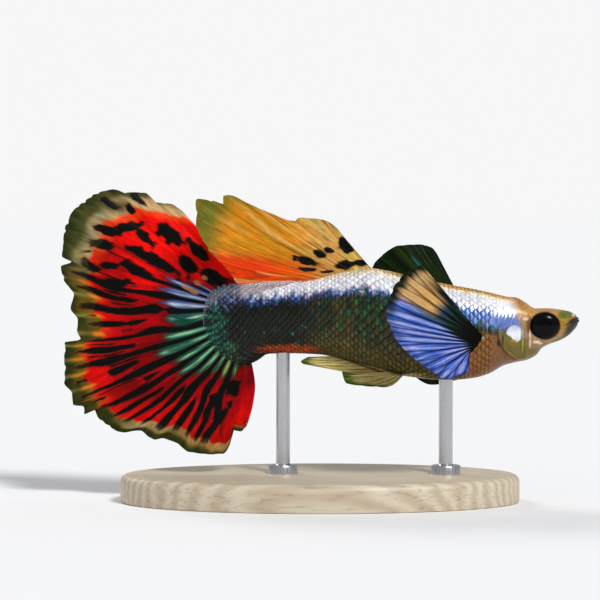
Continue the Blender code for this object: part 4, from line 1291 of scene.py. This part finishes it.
def dorsalPaint(u, v, points, phase, ridge, face):
    seed, tone = dorsal["seed"], dorsal["tones"]
    x, z = points[..., 0], points[..., 2]
    cell = u * dorsal["rays"]
    low = step(25.6, 23.2, z + 0.12 * (x + 5)) * step(2.0, -3.5, x)
    ground = paintOver(
        fill(tone["ochre"], u),
        (tone["tan"], step(-3.5, 1.0, x) * 0.9),
        (tone["yellow"], step(2.0, 3.2, x + 0.3 * (z - 24))),
        (tone["topTan"], step(27.4, 28.4, z - 0.12 * x) * step(-4, -1, x) * 0.8),
        (tone["orange"], low),
        (tone["redOrange"], step(0.35, 0.8, low) * step(-3.0, -6.0, x) * 0.8),
        (tone["olive"], step(-8.2, -11.2, x - 0.35 * (z - 29))),
        (tone["darkTip"], step(-10.8, -12.0, x - 0.25 * (z - 29.6))),
        (tone["rayEnd"], step(0.84, 1.0, v) * step(-4.5, -7.0, x) * step(0.86, 0.7, u) * 0.7),
    )
    paleRays = ridge * step(0.5, 0.75, grain(cell * 2.4, v * 2.2, seed + 3))
    paleRays = paleRays * step(0.15, 0.4, v) * step(-13, -5, x)
    brownRays = bell(phase - 0.34, 0.08) * step(0.45, 0.7, grain(cell * 1.7, v * 5, seed + 7))
    edge = np.maximum(step(0.975, 1.0, v) * step(-6, 1, x), step(0.015, 0.0, u))
    colour = paintOver(
        ground * (0.50 + 0.75 * layered(cell * 6, v * 3, seed))[..., None],
        (tone["paleRay"], paleRays * 0.6),
        (tone["brownRay"], brownRays * 0.8),
        (tones["black"], patchShare(x, z, dorsal["spots"], seed + 5)),
        (tone["edge"], edge * 0.6),
    )
    return colour, glossOf(colour, 0.52, 0.0)


sideFins = {
    "tones": {
        "dark": srgb(0.06, 0.12, 0.05), "moss": srgb(0.16, 0.22, 0.05), "teal": srgb(0.10, 0.42, 0.44),
        "blue": srgb(0.22, 0.36, 0.76), "deepBlue": srgb(0.12, 0.22, 0.52),
        "lavender": srgb(0.64, 0.66, 0.86),
        "wedge": srgb(0.03, 0.20, 0.17), "tan": srgb(0.82, 0.64, 0.36), "edge": srgb(0.03, 0.08, 0.07),
        "rootGreen": srgb(0.03, 0.24, 0.19),
    },
    "root": ((15.7, 17.25), (14.85, 15.3)),
    "rays": 13, "columns": 330, "rows": 100, "sunk": 0.06, "sheet": 0.045, "rootSheet": 0.20,
    "ridge": 0.065,
    "ripple": 0.02, "fork": (0.35, 0.7), "joints": 28, "seed": 71,
    "rootOff": 0.12, "tipOff": 0.5, "bow": 0.7, "wave": 0.22,
    "right": (
        (0.00, (9.9, 24.2, 4.6)), (0.12, (8.0, 23.1, 5.4)), (0.25, (6.8, 21.2, 5.9)),
        (0.37, (6.4, 19.4, 6.0)),
        (0.50, (6.9, 17.9, 5.8)), (0.62, (7.7, 16.4, 5.3)), (0.72, (9.1, 15.0, 4.7)),
        (0.82, (10.7, 13.8, 4.0)),
        (0.91, (12.4, 12.8, 3.2)), (1.00, (14.6, 13.4, 2.4)),
    ),
    "left": (
        (0.00, (11.95, 24.6, 4.9)), (0.04, (11.45, 25.15, 5.2)), (0.12, (10.2, 25.45, 5.6)),
        (0.25, (8.2, 25.35, 6.1)), (0.37, (6.4, 24.3, 6.3)), (0.50, (5.3, 22.6, 6.3)),
        (0.62, (5.5, 20.0, 6.0)), (0.72, (6.8, 16.4, 5.4)), (0.82, (8.8, 12.9, 4.6)),
        (0.91, (11.4, 11.25, 3.7)), (1.00, (14.3, 11.9, 2.6)),
    ),
}


def sideFinSurface(tips, side):
    def surface(u, v):
        (topX, topZ), (lowX, lowZ) = sideFins["root"]
        x, z = topX + (lowX - topX) * u, topZ + (lowZ - topZ) * u
        skin = skinY(x, z)
        root = np.stack([x, side * (skin + sideFins["rootOff"]), z], axis=-1)
        ends = smoothKnots(tips, u)
        tipY = side * (skin + sideFins["tipOff"] + ends[..., 2])
        tip = np.stack([ends[..., 0], tipY, ends[..., 1]], axis=-1)
        rough = 1.0 if side < 0 else 0.3
        waves = 0.006 * np.cos(2 * np.pi * sideFins["rays"] * u)
        scallop = rough * (waves + 0.010 * grain(u * 70, 0 * u, 6) ** 2)
        tip = tip + (root - tip) * scallop[..., None]
        point = root + (tip - root) * v[..., None]
        bow, wave = sideFins["bow"] * v * (1 - v), sideFins["wave"] * v * np.sin(6 * np.pi * u)
        point[..., 1] += side * (bow + wave)
        return point

    return surface


def sideFinPaint(side):
    def paint(u, v, points, phase, ridge, face):
        seed, tone = sideFins["seed"] + side, sideFins["tones"]
        cell = u * sideFins["rays"] + 0.5
        fibres = layered(cell * 6, v * 2.2, seed)
        dark = paintOver(
            fill(tone["dark"], u),
            (tone["moss"], step(0.5, 0.75, fibres) * 0.8),
            (tone["teal"], bell(cell - 3.5, 0.17) * step(0.42, 0.55, v) * step(0.9, 0.8, v) * 0.9),
            (tones["black"], ridge * 0.5),
        )
        if face < 0:
            return dark, glossOf(dark, 0.45, 0.0)
        middle = np.abs(cell - np.floor(cell) - 0.5)
        sheen = bell(0.5 - middle, 0.2) * step(0.34, 0.62, layered(cell * 4.5, v * 3.0, seed + 4))
        tan = step(0.27, 0.20, u + 0.04 * (fibres - 0.5)) * step(0.42, 0.58, v)
        thick = 0.07 + 0.16 * step(0.6, 0.15, v)
        rays = (1 - step(thick, thick + 0.07, middle)) * step(0.95, 0.6, v)
        forked = bell(middle - 0.25 * step(0.35, 1.1, v), 0.05) * step(0.5, 0.65, v)
        rootDark = 0.17 + 0.24 * step(0.62, 0.28, u) - 0.08 * bell(0.5 - middle, 0.2)
        base = blend(fill(tones["black"], u), tone["rootGreen"], step(0.5, 0.7, fibres) * step(0.12, 0.3, v))
        colour = paintOver(
            fill(tone["blue"], u),
            (tone["deepBlue"], step(0.5, 0.3, fibres) * 0.6),
            (tone["lavender"], np.maximum(sheen, step(0.52, 0.75, fibres) * 0.6) * 0.85),
            (tone["wedge"], step(0.36, 0.26, u) * step(0.95, 0.45, v) * 0.9),
            (tone["tan"] * (0.6 + 0.8 * fibres)[..., None], tan * 0.9),
            (dark, step(0.86, 0.97, v + 0.1 * (fibres - 0.5)) * (0.35 + 0.65 * step(0.5, 0.25, u))),
            (tone["edge"], step(0.09, 0.03, u) * step(0.95, 0.6, v)),
            (tones["black"], np.maximum(rays, forked) * 0.85),
            (base, step(rootDark + 0.08, rootDark - 0.08, v)),
        )
        return colour, glossOf(colour, 0.46, 0.15 * step(0.3, 0.5, v))

    return paint


bellyFins = {
    "tones": {
        "straw": srgb(0.74, 0.66, 0.42), "olive": srgb(0.46, 0.44, 0.13), "paleRay": srgb(0.90, 0.84, 0.68),
        "tip": srgb(0.22, 0.33, 0.05),
    },
    "rays": 6, "columns": 120, "rows": 60, "sunk": 0.08, "lay": -1, "sheet": 0.05, "rootSheet": 0.1,
    "ridge": 0.07,
    "ripple": 0.02, "fork": (0.4, 0.8), "joints": 14, "seed": 91,
    "pelvicOut": 0.75, "pelvicSpread": 0.9, "pelvicRoot": (7.4, 8.4),
    "pelvicTips": ((0.0, (2.2, 13.0)), (0.5, (2.6, 12.05)), (0.8, (4.6, 11.75)), (1.0, (6.4, 11.65))),
    "analRoot": (1.2, 6.9),
    "analTips": ((0.0, (-1.2, 14.55)), (0.4, (-1.9, 14.1)), (0.7, (-1.7, 13.85)), (1.0, (-0.4, 13.65))),
}


def bladeSurface(roots, tips, out, spread):
    def surface(u, v):
        x = roots[0] + (roots[1] - roots[0]) * u
        back, belly, half = bodyAt(x)
        rise = (back - belly) / 2 * (1 - np.sqrt(1 - (out / half) ** 2))
        root = np.stack([x, 0 * u, belly + rise], axis=-1)
        ends = smoothKnots(tips, u)
        tip = np.stack([ends[..., 0], 0 * u, ends[..., 1]], axis=-1)
        point = root + (tip - root) * v[..., None]
        point[..., 2] -= 0.35 * np.sin(np.pi * np.clip(v, 0, 1)) * u
        point[..., 1] = out + spread * v
        return point

    return surface


def mirroredSurface(surface):
    def flipped(u, v):
        point = surface(u, v)
        point[..., 1] *= -1
        return point

    return flipped


def bellyPaint(u, v, points, phase, ridge, face):
    tone = bellyFins["tones"]
    fibres = layered(u * bellyFins["rays"] * 4, v * 4, bellyFins["seed"])
    colour = paintOver(
        fill(tone["straw"], u),
        (tone["olive"], step(0.35, 0.7, fibres)),
        (tone["paleRay"], ridge * 0.5),
        (tone["tip"], step(0.66, 0.95, v + 0.3 * (fibres - 0.5))),
        # Black near the root is painted shade where the fin meets the belly.
        (tones["black"], step(0.14, 0.04, v + 0.1 * (fibres - 0.5)) * 0.85),
    )
    return colour, glossOf(colour, 0.52, 0.0)


# Eyes

eyeLook = {
    "rings": 90, "segments": 160, "pupil": srgb(0.006, 0.006, 0.008), "iris": srgb(0.022, 0.020, 0.018),
    "pupilRing": srgb(0.10, 0.07, 0.03), "outerRing": srgb(0.01, 0.01, 0.012), "pupilShare": 0.56,
}


def makeEye(name, side, cadNode):
    rings, segments = eyeLook["rings"], eyeLook["segments"]
    share = np.linspace(0, 1, rings)[1:]
    reach, turn = np.meshgrid(share, np.linspace(0, 2 * np.pi, segments, endpoint=False), indexing="ij")
    middleX, middleY, middleZ = eye["middle"]
    halfX, halfY, halfZ = eye["half"]
    rimY = middleY + eye["rim"] * halfY
    dome = eye["dome"] * halfY
    front = np.stack([
        middleX + halfX * reach * np.cos(turn),
        side * (rimY + dome * np.sqrt(np.maximum(0, 1 - reach**2.3))),
        middleZ + halfZ * reach * np.sin(turn),
    ], axis=-1)
    back = front.copy()
    back[..., 1] = side * (rimY - eye["depth"] * np.sqrt(np.maximum(0, 1 - reach**2)))
    poles = [(middleX, side * (rimY + dome), middleZ), (middleX, side * (rimY - eye["depth"]), middleZ)]
    vertices = np.vstack([front.reshape(-1, 3), back.reshape(-1, 3), poles])
    size = len(share) * segments
    flip = side > 0
    faces = list(gridFaces(len(share), segments, closed=True, flip=flip))
    faces += list(gridFaces(len(share), segments, start=size, closed=True, flip=not flip))
    last = (len(share) - 1) * segments
    for c in range(segments):
        d = (c + 1) % segments
        ring = [(last + c, last + d, last + d + size, last + c + size)]
        ring += [(2 * size, d, c), (2 * size + 1, size + c, size + d)]
        faces += [face[::-1] if flip else face for face in ring]
    made = plainMesh(name, vertices, faces)
    rim = np.concatenate([reach.ravel(), reach.ravel(), (0, 0)])
    around = np.concatenate([turn.ravel(), turn.ravel(), (0, 0)])
    iris = eyeLook["iris"] * (0.6 + 0.9 * layered(around * 14, rim * 5, 77))[:, None]
    colour = paintOver(
        fill(eyeLook["pupil"], rim),
        (iris, step(0.50, eyeLook["pupilShare"], rim)),
        (eyeLook["pupilRing"], bell(rim - eyeLook["pupilShare"], 0.018) * 0.4),
        (eyeLook["outerRing"], step(0.88, 0.97, rim)),
    )
    setColours(made, "marking", colour)
    setColours(made, "gloss", np.stack([0.12 + 0.06 * step(0.5, 0.6, rim), 0 * rim, 0 * rim], axis=-1))
    material = paintedMaterial(name + " wet", {
        "from": "Object", "stretch": (1, 1, 1), "noiseScale": 4000, "speckle": 0.15, "bump": 0.02,
        "bumpDepth": 0.01,
        "coat": 0.05, "coatRoughness": 0.03, "specular": 0.09, "hue": 0.0,
    })
    place(made, material, "eye_black", cadNode)


# Stand

stand = {
    "length": 40.0, "width": 24.0, "height": 2.8, "edge": 0.75, "around": 160,
    "rodRadius": 0.7, "footRadius": 1.5, "footHeight": 0.9, "rodAround": 48,
    "rods": (("stand_rod_front", 12.6), ("stand_rod_rear", -3.7)),
}


wood = {
    "stretch": (0.09, 1.0, 1.0), "ringScale": 330.0, "ringWarp": 9.0, "poreScale": 3600.0,
    "poreShade": 0.72,
    "dark": srgb(0.74, 0.67, 0.57), "pale": srgb(0.82, 0.77, 0.68), "roughness": 0.45,
    "bump": 0.3, "bumpDepth": 0.04,
}
steel = {
    "stretch": (1, 1, 0.03), "lineScale": 9000.0, "roughness": (0.2, 0.4),
    "dark": (0.42, 0.42, 0.44), "pale": (0.72, 0.72, 0.74), "bump": 0.15, "bumpDepth": 0.01,
}


def turned(name, profile, stretch, middle, around):
    turns = np.linspace(0, 2 * np.pi, around, endpoint=False)
    rings = []
    for inset, z in profile:
        rings.append(np.stack([
            middle[0] + (stretch[0] - inset) * np.cos(turns),
            middle[1] + (stretch[1] - inset) * np.sin(turns),
            0 * turns + z,
        ], axis=-1))
    vertices = np.concatenate(rings)
    faces = list(gridFaces(len(profile), around, closed=True))
    bottom, top = len(vertices), len(vertices) + 1
    vertices = np.vstack([vertices, (*middle, profile[0][1]), (*middle, profile[-1][1])])
    last = (len(profile) - 1) * around
    faces += [(bottom, (c + 1) % around, c) for c in range(around)]
    faces += [(top, last + c, last + (c + 1) % around) for c in range(around)]
    made = plainMesh(name, vertices, faces)
    made.data.set_sharp_from_angle(angle=math.radians(35))
    return made


def woodMaterial():
    material, tree, shader, vector = mappedMaterial("limed ash", "Object", wood["stretch"])
    rings = textured(
        tree, vector, "ShaderNodeTexWave",
        Scale=wood["ringScale"], Distortion=wood["ringWarp"], Detail=4.0, Detail_Scale=0.8,
    )
    rings.node.bands_direction = "Y"
    pores = textured(tree, vector, "ShaderNodeTexNoise", Scale=wood["poreScale"], Detail=3.0)
    open01 = ranged(tree, pores, From_Min=0.3, From_Max=0.46, To_Min=wood["poreShade"], To_Max=1.0)
    tinted = brightened(tree, ramped(tree, rings, wood["dark"], wood["pale"]), open01)
    tree.links.new(tinted, shader.inputs["Base Color"])
    shader.inputs["Roughness"].default_value = wood["roughness"]
    bumped(tree, shader, open01, wood["bump"], wood["bumpDepth"])
    return material


def steelMaterial():
    material, tree, shader, vector = mappedMaterial("brushed steel", "Object", steel["stretch"])
    lines = textured(tree, vector, "ShaderNodeTexNoise", Scale=steel["lineScale"], Detail=4.0)
    low, high = steel["roughness"]
    rough = ranged(tree, lines, From_Min=0.3, From_Max=0.7, To_Min=low, To_Max=high)
    tree.links.new(rough, shader.inputs["Roughness"])
    tree.links.new(ramped(tree, lines, steel["dark"], steel["pale"]), shader.inputs["Base Color"])
    shader.inputs["Metallic"].default_value = 1.0
    bumped(tree, shader, lines, steel["bump"], steel["bumpDepth"])
    return material


def makeStand():
    edge = stand["edge"]
    rounding = [math.pi / 2 * k / 8 for k in range(9)]
    profile = [(0.25, 0.0), (0.08, 0.06), (0.0, 0.22)]
    profile += [(edge * (1 - math.cos(a)), stand["height"] - edge + edge * math.sin(a)) for a in rounding]
    base = turned("standBase", profile, (stand["length"] / 2, stand["width"] / 2), (0, 0), stand["around"])
    place(base, woodMaterial(), "stand_base", "stand_base")
    steel = steelMaterial()
    foot, shoulder = stand["height"], stand["height"] + stand["footHeight"]
    neck = stand["footRadius"] - stand["rodRadius"]
    for cadNode, x in stand["rods"]:
        top = float(bodyAt(x)[1]) + 0.1
        profile = [(0.0, foot), (0.0, shoulder - 0.15), (0.06, shoulder - 0.04), (0.2, shoulder)]
        profile += [(0.72, shoulder + 0.02), (neck, shoulder + 0.12), (neck, top - 0.1), (neck + 0.1, top)]
        name = "rodFront" if x > 0 else "rodRear"
        rod = turned(name, profile, (stand["footRadius"],) * 2, (x, float(spineY(x))), stand["rodAround"])
        place(rod, steel, "stand_rod", cadNode)


# Floor, light and camera

stage = {
    "fill": 0.38, "floorHalf": 900, "floorTone": (0.86, 0.86, 0.86, 1), "floorRoughness": 0.9,
    "backdrop": (0.93, 0.93, 0.93, 1), "skyTone": (0.92, 0.95, 1, 1),
    "suns": (("key", (0.35, -0.62, 0.70), 2.5, 14), ("rim", (-0.5, 0.6, 0.62), 0.9, 20)),
    "distance": 400.0, "field": 60.0, "elevation": 3.0, "aim": (-2.0, 0.0, 20.25),
}


def makeStage():
    far = stage["floorHalf"]
    corners = [(-far, -far, 0), (far, -far, 0), (far, far, 0), (-far, far, 0)]
    floor = plainMesh("floor", corners, [(0, 1, 2, 3)], smooth=False)
    material = bpy.data.materials.new("pale floor")
    material.use_nodes = True
    shader = material.node_tree.nodes["Principled BSDF"]
    shader.inputs["Base Color"].default_value = stage["floorTone"]
    shader.inputs["Roughness"].default_value = stage["floorRoughness"]
    floor.data.materials.append(material)

    world = bpy.data.worlds.new("studio")
    bpy.context.scene.world = world
    world.use_nodes = True
    tree = world.node_tree
    link = tree.links.new
    seen = tree.nodes["Background"]
    seen.inputs["Color"].default_value = stage["backdrop"]
    lit = tree.nodes.new("ShaderNodeBackground")
    lit.inputs["Color"].default_value = stage["skyTone"]
    lit.inputs["Strength"].default_value = stage["fill"]
    rays = tree.nodes.new("ShaderNodeLightPath")
    either = tree.nodes.new("ShaderNodeMixShader")
    link(rays.outputs["Is Camera Ray"], either.inputs[0])
    link(lit.outputs[0], either.inputs[1])
    link(seen.outputs[0], either.inputs[2])
    link(either.outputs[0], tree.nodes["World Output"].inputs["Surface"])

    for name, towards, strength, softness in stage["suns"]:
        light = bpy.data.lights.new(name, "SUN")
        light.energy = strength
        light.angle = math.radians(softness)
        lamp = bpy.data.objects.new(name, light)
        lamp.rotation_euler = Vector(towards).to_track_quat("Z", "Y").to_euler()
        bpy.context.scene.collection.objects.link(lamp)

    camera = bpy.data.cameras.new("camera")
    camera.sensor_width = 36
    camera.lens = camera.sensor_width * stage["distance"] / stage["field"]
    camera.clip_start = 0.01
    camera.clip_end = 5
    view = bpy.data.objects.new("camera", camera)
    elevation = math.radians(stage["elevation"])
    aim = Vector(stage["aim"]) * mm
    view.location = aim + Vector((0, -math.cos(elevation), math.sin(elevation))) * stage["distance"] * mm
    view.rotation_euler = (aim - view.location).to_track_quat("-Z", "Y").to_euler()
    bpy.context.scene.collection.objects.link(view)
    bpy.context.scene.camera = view
    bpy.context.scene.view_settings.view_transform = "Standard"


skinPiece = makeSkin()
print("skin made")
makeScales(skinPiece)
for eyeName, eyeSide, eyeNode in (("eyeballRight", -1, "eye_right"), ("eyeballLeft", 1, "eye_left")):
    makeEye(eyeName, eyeSide, eyeNode)
print("eyes made")
makeFin("tailFin", tail, tailSurface, tailPaint, "tail_membrane", "tail_fin")
makeFin("dorsalFin", dorsal, dorsalSurface, dorsalPaint, "dorsal_membrane", "dorsal_fin")
for finName, finSide, cadNode in (("right", -1, "pectoral_fin_right"), ("left", 1, "pectoral_fin_left")):
    pieceName, settings = "pectoralFin" + finName.title(), dict(sideFins, lay=finSide)
    surface, paint = sideFinSurface(sideFins[finName], finSide), sideFinPaint(finSide)
    makeFin(pieceName, settings, surface, paint, "side_membrane", cadNode)
pelvicSurface = bladeSurface(*(bellyFins["pelvic" + part] for part in ("Root", "Tips", "Out", "Spread")))
for finName, surface, cadNode in (
    ("pelvicFinLeft", pelvicSurface, "pelvic_fin_left"),
    ("pelvicFinRight", mirroredSurface(pelvicSurface), "pelvic_fin_right"),
    ("analFin", bladeSurface(bellyFins["analRoot"], bellyFins["analTips"], 0.0, 0.0), "anal_fin"),
):
    makeFin(finName, bellyFins, surface, bellyPaint, "belly_membrane", cadNode)
print("fins made")
makeStand()
print("stand made")
makeStage()
